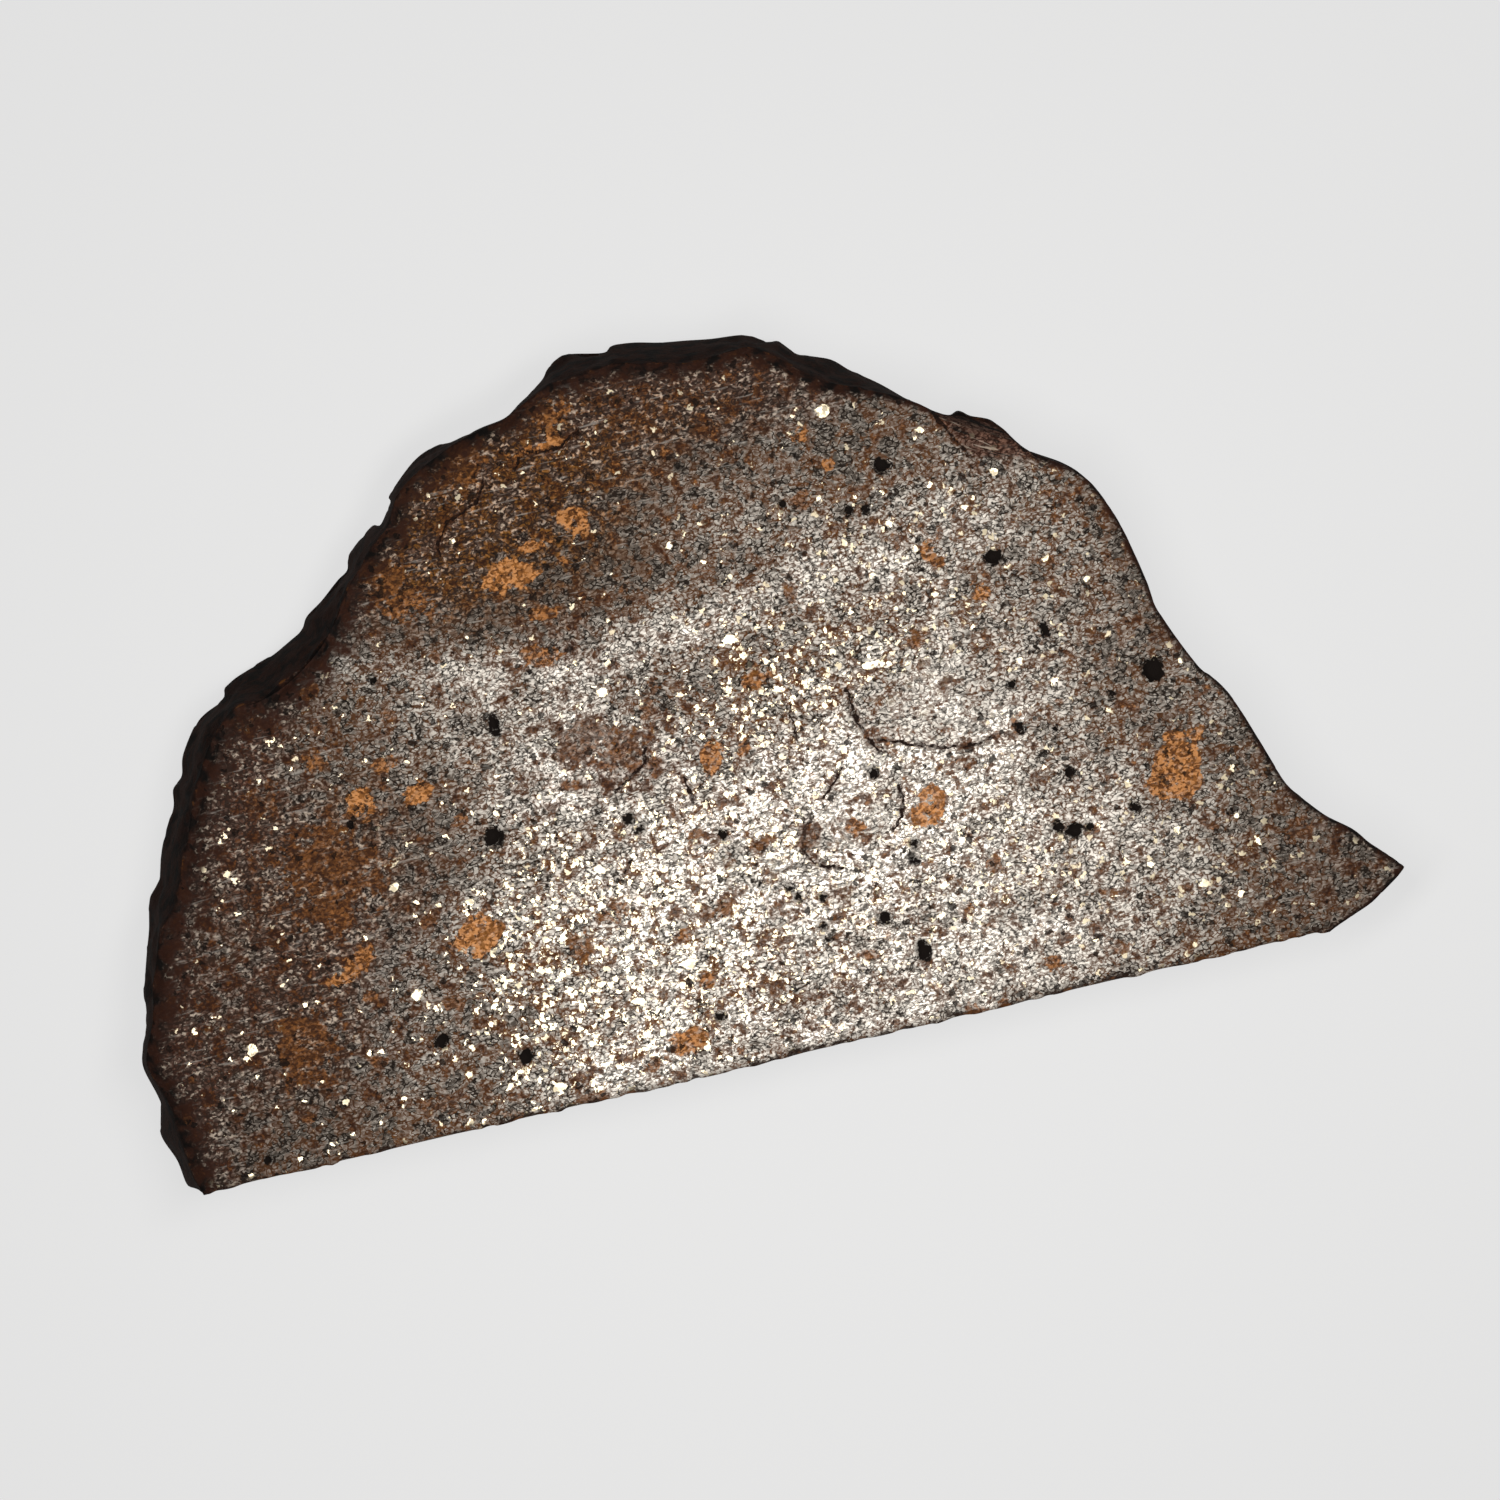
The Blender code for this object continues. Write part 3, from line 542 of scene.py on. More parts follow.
def cutFaceHeight(x, y, fields):
    # Mean level, minus the pits, cracks, nicks, chip and worn edges, plus the low grain relief.
    level = np.zeros_like(x)
    thickness = sliceSize["thickness"]
    size, height = cutFace["waviness"]
    z = thickness - sliceSize["skin"] + height * roughNoise(x, y, level, size, 2, 3)
    size, height = cutFace["grainRelief"]
    z += height * roughNoise(x, y, level, size, 2, 5)
    z -= cutFace["pitDepth"] * ramp(fields["pit"], -0.08, 0.30)
    share, breadth = cutFace["crackRelief"]
    z -= share * fields["crackDepth"] * np.clip(breadth - np.abs(fields["crackAcross"]), 0, 1)
    z -= cutFace["rustSink"] * fields["rust"] * (1 + 0.5 * roughNoise(x, y, level, 0.5, 2, 9))
    size, share = cutFace["wearChange"]
    chewed = np.clip(1 + share * roughNoise(x, y, level, size, 3, 21), 0.1, 2.2)
    for wear, gap in (("arrisWear", "naturalGap"), ("sawnArrisWear", "sawGap")):
        reach, deep = cutFace[wear]
        z -= deep * chewed * np.exp(-(fields[gap] / reach) ** 2)
    z -= cutFace["nickDepth"] * nickBowl(x, y)
    a, b, c = (np.array(corner) for corner in cutFace["chipFloor"])
    normal = np.cross(c - a, np.array(cutFace["chipOutside"]) - (a + c) / 2)
    floor = a[2] - (normal[0] * (x - a[0]) + normal[1] * (y - a[1])) / normal[2]
    across = cutFace["ledgeAcross"]
    size, sway = cutFace["ledgeWander"]
    ledge = (x - b[0]) * across[0] + (y - b[1]) * across[1]
    ledge += sway * roughNoise(x, y, level, size, 2, 33)
    spacing, drop = cutFace["chipLedges"]
    floor -= drop * (ledge / spacing - np.floor(ledge / spacing) - 0.5)
    size, height = cutFace["chipRoughness"]
    floor += height * roughNoise(x, y, level, size, 2, 31)
    return np.where(insideChip(x, y) > 0, np.minimum(z, floor), z)


wall = {
    # how far each row of points lies below the arris
    "drops": [0.07, 0.22, 0.48, 0.82, 1.25, 1.75, 2.3, 2.9, 3.5, 4.05, 4.5, 4.82, 5.0],
    "lumps": (1.5, 0.20),           # size and height of the rind's lumps
    "knobs": (0.55, 0.075),         # and of the finer knobs on them
    "steepShare": 0.35,             # how much of them is left where the wall stands upright
    "deepestDent": 0.06,
    "fades": (0.15, 0.3),           # they die out towards the foot and the arris
    "sawMarks": (0.35, 0.012),      # spacing and depth of the marks on the sawn edge
    "sawMarkStretch": 0.15,         # they run along it
    "stain": 0.9,
}


def wallRows(loop, arrisZ):
    # One row of points per drop below the arris. In plan a row lies between foot and arris by
    # (height / thickness) to the power wallBulge, and lumps push the natural rind in and out.
    thickness = sliceSize["thickness"]
    rows = []
    for drop in wall["drops"]:
        z = arrisZ * (1 - drop / wall["drops"][-1])
        ease = ((z / thickness) ** sliceSize["wallBulge"])[:, None]
        plan = loop[:, 0:2] * (1 - ease) + loop[:, 2:4] * ease
        size, height = wall["lumps"]
        lump = height * roughNoise(plan[:, 0], plan[:, 1], z, size, 2, 41)
        size, height = wall["knobs"]
        lump += height * roughNoise(plan[:, 0], plan[:, 1], z, size, 2, 43)
        natural = np.clip(wall["steepShare"] + loop[:, 6], 0, 1) * loop[:, 7]
        low, high = wall["fades"]
        fade = ramp(z, 0, low) * ramp(arrisZ - z, 0, high)
        push = np.maximum(lump, -wall["deepestDent"]) * natural * fade
        spacing, depth = wall["sawMarks"]
        marks = roughNoise(plan[:, 0] * wall["sawMarkStretch"], plan[:, 1], z, spacing, 2, 47)
        saw = depth * (1 + marks) * (1 - loop[:, 7]) * fade
        rows.append(np.column_stack([plan + loop[:, 4:6] * (push + saw)[:, None], z]))
    return rows


def stitchFaces(fine, coarse):
    # Triangles that join a ring of fine steps to a ring of coarse ones, facing down.
    step = len(fine) // len(coarse)
    half = step // 2
    faces = []
    for offset in range(step):
        a = fine[offset::step]
        b = np.roll(fine, -1)[offset::step]
        hub = coarse if offset < half else np.roll(coarse, -1)
        faces.append(np.column_stack([b, a, hub]))
    middle = fine[half::step]
    faces.append(np.column_stack([middle, coarse, np.roll(coarse, -1)]))
    return np.vstack(faces)


def quadGrid(columns, rows, start, down):
    # The four corners of each grid cell: anticlockwise from above, or clockwise where it looks down.
    grid = start + np.arange((rows + 1) * (columns + 1)).reshape(rows + 1, columns + 1)
    corners = [grid[:-1, :-1], grid[:-1, 1:], grid[1:, 1:], grid[1:, :-1]]
    if down:
        corners.reverse()
    return np.stack([corner.ravel() for corner in corners], axis=1)


# The square that the piece's colours are kept on, in millimetres where not said otherwise.
charts = {
    "width": 66.0,
    "margin": (2.6, 0.8),           # left free beside and below the cut face
    "rearShrink": (0.42, 0.28),     # the plain rear face is kept smaller,
    "rearFoot": 0.84,               # this far up, as a share of the square
    "wallFoot": 0.595,              # and so are the strips of the wall
    "stripRise": 5.35,              # from one strip to the next
    "stripMargin": 0.6,
    "stripSpare": 0.05,
    "closing": 0.2,                 # the last step round the slice
}


def bakeCharts(points, faces, chart, along, drop):
    # Where each face corner lies on the square: the cut face at (x, y) / width in the lower part, the
    # wall above it at (way round, drop) / width in three strips, and the shrunken rear face on top.
    perMillimetre = 1 / charts["width"]
    x, y = points[:, 0] + charts["margin"][0], points[:, 1] + charts["margin"][1]
    front = np.column_stack([x, y]) * perMillimetre
    total = along.max() + charts["closing"]
    strip = total / 3 + charts["stripSpare"]
    shrink = charts["rearShrink"]
    rear = np.column_stack([x * shrink[0], y * shrink[1]]) * perMillimetre + (0.0, charts["rearFoot"])
    places = []
    for face, kind in zip(faces, chart):
        if kind == "front":
            places.append(front[face])
        elif kind == "rear":
            places.append(rear[face])
        else:
            s = along[face]
            wrapped = (s == 0) & (s.max(axis=1, keepdims=True) > total / 2)
            s = np.where(wrapped, total - charts["closing"], s)
            band = np.clip((s.min(axis=1, keepdims=True) // strip), 0, 2)
            u = (s - band * strip + charts["stripMargin"]) * perMillimetre
            v = charts["wallFoot"] + (band * charts["stripRise"] + drop[face]) * perMillimetre
            places.append(np.stack([u, v], axis=2))
    return places


def rearInward(loop):
    # The way in from each point of the foot. Near the two ends of the sawn edge it is turned to the
    # diagonal, inward + the other side's way x (1 - ramp), so that the ring inside can't cross itself.
    sawn = loop[:, 7:8] == 0
    ends = loop[[0, np.argmax(loop[:, 7] * (np.arange(len(loop)) > 0))], 0:2]
    away = np.hypot(*(loop[:, None, 0:2] - ends).transpose(2, 0, 1))
    near = 1 - ramp(away, 0, sliceSize["cornerReach"])
    sideways = (near[:, :1] - near[:, 1:]) * [[1.0, 0.0]]
    upwards = (near[:, :1] + near[:, 1:]) * [[0.0, 1.0]]
    return loop[:, 4:6] + np.where(sawn, sideways, upwards)


def buildSlice():
    # One closed skin: the cut face is a grid at height z(x, y), rows of the wall run down from its ring
    # to the foot, and stitches join the foot to the coarser grid of the rear face.
    columns, rows = sliceSize["columns"], sliceSize["rows"]
    loop = loopPoints(rimTable())
    natural = loop[:, 7] > 0
    naturalTop = loop[natural, 2:4]
    naturalFoot = loop[natural, 0:2]

    plan = filledGrid(loop[:, 2:4], columns, rows)
    x, y = plan[:, 0], plan[:, 1]
    front = faceFields(x, y, naturalTop, False)
    z = cutFaceHeight(x, y, front)
    z = np.minimum(z, sliceSize["thickness"])
    ring = loopIndex(columns, rows)
    rowsDown = wallRows(loop, z[ring])

    step = sliceSize["rearStep"]
    coarseLoop = (loop[:, 0:2] + rearInward(loop) * sliceSize["rearInset"])[::step]
    rearPlan = filledGrid(coarseLoop, columns // step, rows // step)
    rear = faceFields(rearPlan[:, 0], rearPlan[:, 1], naturalFoot, True)

    rearPoints = np.column_stack([rearPlan, 0 * rearPlan[:, 0]])
    points = np.vstack([np.column_stack([plan, z]), *rowsDown, rearPoints])
    count = len(plan)
    ringSize = len(ring)
    rings = [ring] + [count + k * ringSize + np.arange(ringSize) for k in range(len(rowsDown))]
    wallQuads = np.vstack([np.column_stack([low, np.roll(low, -1), np.roll(top, -1), top])
                           for top, low in zip(rings[:-1], rings[1:])])
    rearStart = count + len(rowsDown) * ringSize
    rearRing = rearStart + loopIndex(columns // step, rows // step)
    frontQuads = quadGrid(columns, rows, 0, False)
    rearQuads = quadGrid(columns // step, rows // step, rearStart, True)
    stitches = stitchFaces(rings[-1], rearRing)
    faces = [frontQuads, wallQuads, rearQuads, stitches]

    # What the wall's points carry: the crust is deep below the arris, and the sawn edge has none.
    drops = np.array(wall["drops"])
    sawnGap = edgeDistance(loop[:, 2], loop[:, 3], naturalTop)
    farthest = cutFace["farthest"]
    sawnGap = np.minimum(sawnGap, farthest)
    naturalGap = np.clip(loop[:, 3], 0, farthest)
    halfDrops = 0.5 * np.minimum(drops, drops[-1] - drops)
    wallFields = plainStone | {
        "naturalGap": np.concatenate([np.where(natural, -drop, sawnGap) for drop in drops]),
        "sawGap": np.concatenate([np.where(natural, naturalGap, half) for half in halfDrops]),
        "stain": wall["stain"],
    }
    none = np.zeros(len(drops) * ringSize)
    fields = {name: np.concatenate([front[name], none + wallFields[name], rear[name]])
              for name in front}

    along = np.concatenate([[0], np.cumsum(np.hypot(*np.diff(loop[:, 0:2], axis=0).T))])
    alongAll = np.zeros(len(points))
    dropAll = np.zeros(len(points))
    alongAll[ring] = along
    for k, drop in enumerate(drops):
        alongAll[rings[k + 1]] = along
        dropAll[rings[k + 1]] = drop
    places = bakeCharts(points, faces, ["front", "wall", "rear", "rear"], alongAll, dropAll)

    placed = (points - (*sliceSize["middle"], 0.0)) * millimetre
    placed = np.clip(placed, sliceBox[0], sliceBox[1])
    piece = newMesh("chondriteSlice", placed, faces, places)
    for name, values in fields.items():
        layer = piece.data.attributes.new(name, "FLOAT", "POINT")
        layer.data.foreach_set("value", values.astype(np.float32))
    return piece


def newMesh(name, points, faceGroups, places):
    # A linked object from whole arrays of points and faces, with the map OFBake from the corner places.
    loops = np.concatenate([group.ravel() for group in faceGroups])
    sizes = np.concatenate([np.full(len(group), group.shape[1]) for group in faceGroups])
    starts = np.concatenate([[0], np.cumsum(sizes)[:-1]])
    mesh = bpy.data.meshes.new(name)
    mesh.vertices.add(len(points))
    mesh.vertices.foreach_set("co", points.astype(np.float32).ravel())
    mesh.loops.add(len(loops))
    mesh.loops.foreach_set("vertex_index", loops.astype(np.int32))
    mesh.polygons.add(len(sizes))
    mesh.polygons.foreach_set("loop_start", starts.astype(np.int32))
    mesh.update(calc_edges=True)
    mesh.validate()
    mesh.polygons.foreach_set("use_smooth", np.ones(len(sizes), dtype=bool))
    bake = mesh.uv_layers.new(name="OFBake")
    corners = np.concatenate([place.reshape(-1, 2) for place in places])
    bake.data.foreach_set("uv", corners.astype(np.float32).ravel())
    mesh.update()
    made = bpy.data.objects.new(name, mesh)
    bpy.context.scene.collection.objects.link(made)
    return made


def colour(text):
    # An sRGB hex value as linear red, green, blue and alpha: a dark part is divided by 12.92, any other
    # is ((part + 0.055) / 1.055) to the power 2.4.
    parts = [int(text[k:k + 2], 16) / 255 for k in (1, 3, 5)]
    return (*(c / 12.92 if c <= 0.04045 else ((c + 0.055) / 1.055) ** 2.4 for c in parts), 1.0)


# Pattern scales are per millimetre: a scale of 4 gives grains of about 0.12 mm with gaps as wide.
# The real stone's groundmass is finer still. It is drawn this coarse so that it shows.
stoneLook = {
    "gap": "#20170f",               # shadowed gaps between silicate grains
    "gapBrown": "#5f3b1e",          # the same where rust has crept between them
    "grey": "#aea296",              # freshly sawn olivine and pyroxene
    "pale": "#e2dbd1",              # the same where the grains are fine and well lapped, and where glare is painted in
    "brownGrey": "#6c5449",         # weathered matrix
    "maroon": "#66402f",
    "umber": "#33231b",             # gaps in the weathered matrix
    "paintedGlintTone": "#dccbb8",       # painted glints: light specks in the weathered stone where fine grains would catch the light, and light lines on the chip's ledges
    "amberDark": "#2b190c",
    "amber": "#84561f",
    # gold: painted glints in the amber stone and in the brighter rust
    "gold": "#e6a266",
    "rustDark": "#331a0d",
    "rustMid": "#7c4c25",
    "rustBright": "#cb8443",
    "metal": "#f1e3c4",             # nickel iron
    "halo": "#80501f",              # rust that crept out round it
    # pit and crack: painted shade in the hollows, the crack partly its dark filling
    "pit": "#120b07",
    "crack": "#1f110a",
    "crackSide": "#5a3218",
    "rind": "#0d0806",
    "rindBrown": "#331a10",
    # painted sheen on the rind's high spots
    "paintedRindSheen": "#382a22",
    "edgeLine": "#2c1a10",
    "chip": "#876353",
    # matrix pattern
    "grainStretch": (0.85, 1.1, 1.0),       # grains are drawn out a little along the saw lines
    "wormScale": 4.5,
    "fineScale": 5.4,
    "gritScale": 3.4,
    "sawScale": (0.5, 4.2, 1.0),    # saw lines: long along x, about 0.1 mm apart
    # broader patterns
    "blotchScale": 0.55,
    "coverScale": 1.25,
    "raggedScale": 3.0,             # frays the outline of every patch
    "wanderScale": 2.9,             # makes the cracks wander
    "rustToneScale": 4.0,
    "rindScale": 2.2,
    "ledgeTurn": 0.56,              # ledge lines in the chip: radians from x, and their stretch
    "ledgeStretch": (0.35, 2.6, 1.0),
    "pluckedCells": 1.35,           # holes where a grain came out, per mm
    "pushScale": 4.2,               # pushes the cells out of line,
    "push": 0.5,                    # by up to this many mm
    # flecks of metal: cells per mm, radius as a share of a cell, and the draw that a cell has to pass
    "flecks": [(2.1, 0.32, 0.985), (3.5, 0.46, 0.96)],
    # roughness
    "dullRoughness": 0.78,
    "lappedRoughness": 0.42,
    "rustRoughness": 0.9,
    "rindRoughness": 0.8,
    "metalRoughness": 0.47,
    "ridgeMetal": 0.4,
    "bumpDepth": 0.00002,           # metres
    "fleckLean": 0.28,
}

# Each short name stands for a node: its kind, its inputs in the order they are given, and settings.
nodeKinds = {
    "field": ("ShaderNodeAttribute", (), {}),
    "noise": ("ShaderNodeTexNoise", ("Vector", "Scale", "Detail", "Roughness", "Distortion"), {}),
    "cells": ("ShaderNodeTexVoronoi", ("Vector", "Scale"), {}),
    "stretch": ("ShaderNodeMapping", ("Vector", "Scale", "Rotation"), {}),
    "scale": ("ShaderNodeVectorMath", (0, "Scale"), {"operation": "SCALE"}),
    "shift": ("ShaderNodeVectorMath", (0, 1), {"operation": "ADD"}),
    "unit": ("ShaderNodeVectorMath", (0,), {"operation": "NORMALIZE"}),
    "split": ("ShaderNodeSeparateColor", ("Color",), {}),
    "parts": ("ShaderNodeSeparateXYZ", ("Vector",), {}),
    "ramp": ("ShaderNodeMapRange", ("Value", "From Min", "From Max", "To Min", "To Max"),
             {"interpolation_type": "SMOOTHSTEP"}),
    "sum": ("ShaderNodeMath", (0, 1), {"operation": "ADD"}),
    "less": ("ShaderNodeMath", (0, 1), {"operation": "SUBTRACT"}),
    "times": ("ShaderNodeMath", (0, 1), {"operation": "MULTIPLY"}),
    "weigh": ("ShaderNodeMath", (0, 1, 2), {"operation": "MULTIPLY_ADD"}),      # first x second + third
    "most": ("ShaderNodeMath", (0, 1), {"operation": "MAXIMUM"}),
    "size": ("ShaderNodeMath", (0,), {"operation": "ABSOLUTE"}),
    "over": ("ShaderNodeMath", (0, 1), {"operation": "GREATER_THAN"}),
    "blend": ("ShaderNodeMix", (0, 6, 7), {"data_type": "RGBA"}),
    "mix": ("ShaderNodeMix", (0, 2, 3), {}),
    "bump": ("ShaderNodeBump", ("Height", "Strength", "Distance"), {}),
}


def nodesIn(tree):
    def add(short, *inputs, **settings):
        # Adds a node, makes its settings, gives each input a value or a link, and returns its first
        # live output.
        kind, places, fixed = nodeKinds[short]
        made = tree.nodes.new(kind)
        for name, value in (fixed | settings).items():
            setattr(made, name, value)
        for place, value in zip(places, inputs):
            if isinstance(value, bpy.types.NodeSocket):
                tree.links.new(value, made.inputs[place])
            else:
                made.inputs[place].default_value = value
        return next(socket for socket in made.outputs if socket.enabled)
    return add


def weatheredChondrite():
    # Sawn and lightly lapped chondrite: satin silicate grains with bright nickel-iron flecks, rust
    # where the iron has weathered, and a rough near-black rind on the natural side.
    material = bpy.data.materials.new("weatheredChondrite")
    material.use_nodes = True
    tree = material.node_tree
    shader = tree.nodes["Principled BSDF"]
    look = stoneLook
    tint = {name: colour(value) for name, value in look.items() if isinstance(value, str)}

    add = nodesIn(tree)
    spot = add("scale", tree.nodes.new("ShaderNodeTexCoord").outputs["Object"], 1000.0)
    field = {name: add("field", attribute_name=name).node.outputs["Fac"]
             for name in ["naturalGap", "sawGap"] + list(plainStone)}

    # Patterns of the matrix: grains of about 0.1 mm, and broader ones that vary and fray everything.
    grained = add("stretch", spot, look["grainStretch"])
    fine = add("noise", grained, look["fineScale"], 1.0, 0.5, 0.5)
    wander = add("noise", grained, look["wanderScale"], 1.0, 0.6, 0.35)
    grit = add("noise", grained, look["gritScale"], 2.0, 0.6)
    sawLines = add("noise", add("stretch", spot, look["sawScale"]), 1.0, 2.0, 0.6)
    blotch = add("noise", spot, look["blotchScale"], 3.0, 0.6)
    cover = add("noise", spot, look["coverScale"], 3.0, 0.62, 0.4)
    ragged = add("ramp", add("noise", spot, look["raggedScale"], 2.0, 0.7), 0.3, 0.7, -1.0, 1.0)
    loose = add("ramp", cover, 0.3, 0.7, -1.0, 1.0)
    # polishAndGlare: lapped stone, and also where glare is painted in as paler, closer grains
    polishAndGlare = add("ramp", add("weigh", cover, 0.7, blotch), 0.62, 1.0, 0.55, 1.25)
    polishAndGlare = add("times", field["polishAndGlare"], polishAndGlare)
    worm = add("size", add("less", add("noise", grained, look["wormScale"], 0.5, 0.5, 0.3), 0.5))

    # Weathering browns the matrix: broad stains, and a darker margin along the natural edge.
    margin = add("sum", field["naturalGap"], add("ramp", blotch, 0.3, 0.7, -1.1, 1.1))
    margin = add("ramp", margin, 0.0, 3.4, 1.0, 0.0)
    margin = add("times", margin, add("ramp", field["edge"], 0.0, 0.6, 0.5, 1.0))
    stained = add("weigh", loose, 0.35, add("weigh", margin, 0.6, field["stain"]))
    stained = add("ramp", stained, 0.05, 1.05)
    edge = add("ramp", add("weigh", loose, 0.35, field["edge"]), 0.0, 0.9, 0.0, 0.92)

    # Light grains stand in the dark groundmass, close together where the stone took the lap and where
    # glare is painted in.
    # The dark lines between them follow the middle values of the worm noise.
    ridge = add("ramp", add("weigh", polishAndGlare, 0.062, worm), 0.038, 0.130)
    core = add("ramp", add("most", polishAndGlare, stained), 0.0, 0.65, 0.38, 1.0)
    ridge = add("times", ridge, add("ramp", worm, 0.08, 0.15, 1.0, core))
    crumb = add("ramp", add("weigh", polishAndGlare, 0.04, fine), 0.38, 0.56, 0.35, 1.0)
    ridge = add("times", add("times", ridge, crumb), add("ramp", grit, 0.34, 0.50, 0.5, 1.0))
    ridge = add("times", ridge, add("ramp", sawLines, 0.34, 0.45, 0.7, 1.0))
    lively = add("less", fine, 0.5)
    # The grains are paler where polishAndGlare is high: partly lapping, partly painted glare.
    pale = add("weigh", lively, 2.8, add("weigh", field["clast"], 0.5, polishAndGlare))
    pale = add("ramp", pale, 0.05, 0.85)
    grain = add("blend", pale, tint["grey"], tint["pale"])
    weathered = add("ramp", add("weigh", ragged, 0.12, cover), 0.40, 0.58)
    weathered = add("blend", weathered, tint["brownGrey"], tint["maroon"])
    grain = add("blend", stained, grain, weathered)
    amber = add("ramp", add("weigh", ragged, 0.10, cover), 0.38, 0.60, 0.15, 1.0)
    amber = add("times", field["amber"], amber)
    grain = add("blend", amber, grain, tint["amber"])
    low = add("ramp", add("weigh", ragged, 0.25, loose), -0.5, 0.4)
    low = add("blend", low, tint["gap"], tint["gapBrown"])
    low = add("blend", stained, low, tint["umber"])
    low = add("blend", amber, low, tint["amberDark"])
    body = add("blend", ridge, low, grain)
    # Painted glints: light specks in the weathered and amber stone, where fine grains would catch the
    # light.
    paintedGlint = add("ramp", add("weigh", blotch, 0.5, grit), 0.66, 0.88)
    paintedGlint = add("times", add("ramp", fine, 0.52, 0.64), paintedGlint)
    paintedGlint = add("times", paintedGlint, add("ramp", stained, 0.1, 0.6, 0.0, 0.85))
    paintedGlint = add("times", paintedGlint, add("ramp", loose, -0.5, 0.5, 1.0, 0.25))
    body = add("blend", paintedGlint, body, add("blend", amber, tint["paintedGlintTone"], tint["gold"]))
    # Pale streaks along the saw lines: painted sheen where light catches the lapped saw marks.
    body = add("blend", add("ramp", sawLines, 0.60, 0.72, 0.0, 0.3), body, tint["pale"])

    # Rust: the marked patches, plus small spots of 0.3 to 0.8 mm round weathered metal.
    patch = add("weigh", loose, 0.38, add("weigh", ragged, 0.28, field["rust"]))
    patch = add("ramp", patch, 0.34, 0.74)
    spots = add("weigh", field["metal"], 0.26, add("weigh", field["stain"], 0.14, loose))
    spots = add("ramp", add("weigh", ragged, 0.16, spots), 0.60, 0.86, 0.0, 0.8)
    rustTone = add("noise", spot, look["rustToneScale"], 1.5, 0.6)
    rustTone = add("ramp", rustTone, 0.34, 0.66, -0.22, 0.22)
    rustTone = add("weigh", field["rustTone"], patch, rustTone)
    spotTone = add("ramp", stained, 0.0, 0.8, 0.36, 0.15)
    rustTone = add("weigh", add("less", 1.0, patch), spotTone, rustTone)
    rustColour = add("blend", add("ramp", rustTone, 0.0, 0.45), tint["rustDark"], tint["rustMid"])
    rustColour = add("blend", add("ramp", rustTone, 0.42, 1.0), rustColour, tint["rustBright"])
    floor = add("ramp", field["rustTone"], 0.55, 0.85, 0.3, 0.65)
    rustColour = add("blend", add("ramp", fine, 0.40, 0.54, floor, 1.0), tint["rustDark"], rustColour)
    rustColour = add("blend", add("ramp", worm, 0.02, 0.07, 0.45, 0.0), rustColour, tint["rustDark"])
    # Gold specks in the brighter rust patches are painted glints.
    rustGlint = add("ramp", field["rustTone"], 0.45, 0.8, 0.05, 0.8)
    rustGlint = add("times", patch, add("times", rustGlint, add("ramp", fine, 0.48, 0.56)))
    rustColour = add("blend", rustGlint, rustColour, tint["gold"])
    rustShare = add("times", patch, add("ramp", field["rustTone"], 0.3, 0.7, 0.7, 0.95))
    rustShare = add("most", rustShare, spots)
    floor = add("ramp", floor, 0.3, 0.8, 0.5, 0.9)
    rustShare = add("times", rustShare, add("ramp", grit, 0.50, 0.62, 1.0, floor))
    body = add("blend", rustShare, body, rustColour)

    # Metal: the large grains, plus two sizes of fleck whose number follows the metal field.
    push = add("noise", spot, look["pushScale"], 2.0).node.outputs["Color"]
    warped = add("shift", spot, add("scale", push, look["push"]))
    flecks = add("ramp", add("weigh", ragged, 0.07, field["grain"]), 0.02, 0.07)
    halo = hollow = 0.0
    for cells, radius, rare in look["flecks"]:
        cell = add("cells", warped, cells)
        dice = add("split", cell.node.outputs["Color"]).node.outputs
        chosen = add("over", add("weigh", field["metal"], 0.55, dice["Red"]), rare)
        inside = add("less", add("times", add("sum", dice["Green"], 0.3), radius), cell)
        near = add("ramp", inside, -0.02, 0.05)
        flecks = add("most", flecks, add("times", near, chosen))
        halo = add("most", halo, add("times", add("ramp", inside, -0.30, 0.02), chosen))
        hollow = add("most", hollow, add("times", near, add("over", dice["Blue"], 0.94)))
    tilt = cell.node.outputs["Color"]
    flecks = add("times", flecks, add("ramp", field["naturalGap"], 0.3, 1.4))
    smooth = add("ramp", add("size", field["clast"]), 0.1, 0.3, 1.0, 0.12)
    flecks = add("times", flecks, add("times", smooth, add("less", 1.0, patch)))
    halo = add("times", add("times", halo, smooth), add("ramp", loose, -0.6, 0.5, 0.0, 0.7))
    body = add("blend", halo, body, tint["halo"])
    body = add("blend", flecks, body, tint["metal"])

    # The rind's darkness creeps in from the natural edge.
    rindTone = add("blend", add("ramp", cover, 0.36, 0.60), tint["rind"], tint["rindBrown"])
    body = add("blend", edge, body, rindTone)

    # Chip: red-brown broken stone, with thin dark and light ledge lines along the rim: painted shade
    # under its little steps and painted highlight on their edges.
    ledges = add("stretch", spot, (1.0, 1.0, 1.0), (0.0, 0.0, look["ledgeTurn"]))
    ledges = add("noise", add("stretch", ledges, look["ledgeStretch"]), 1.0, 3.0, 0.65, 0.8)
    broken = add("blend", ridge, tint["rindBrown"], tint["chip"])
    broken = add("blend", add("ramp", ledges, 0.34, 0.44), tint["rind"], broken)
    broken = add("blend", add("ramp", ledges, 0.56, 0.66, 0.0, 0.7), broken, tint["paintedGlintTone"])
    chipShare = add("times", field["chip"], add("ramp", field["naturalGap"], 0.0, 0.2, 0.0, 0.85))
    body = add("blend", chipShare, body, broken)
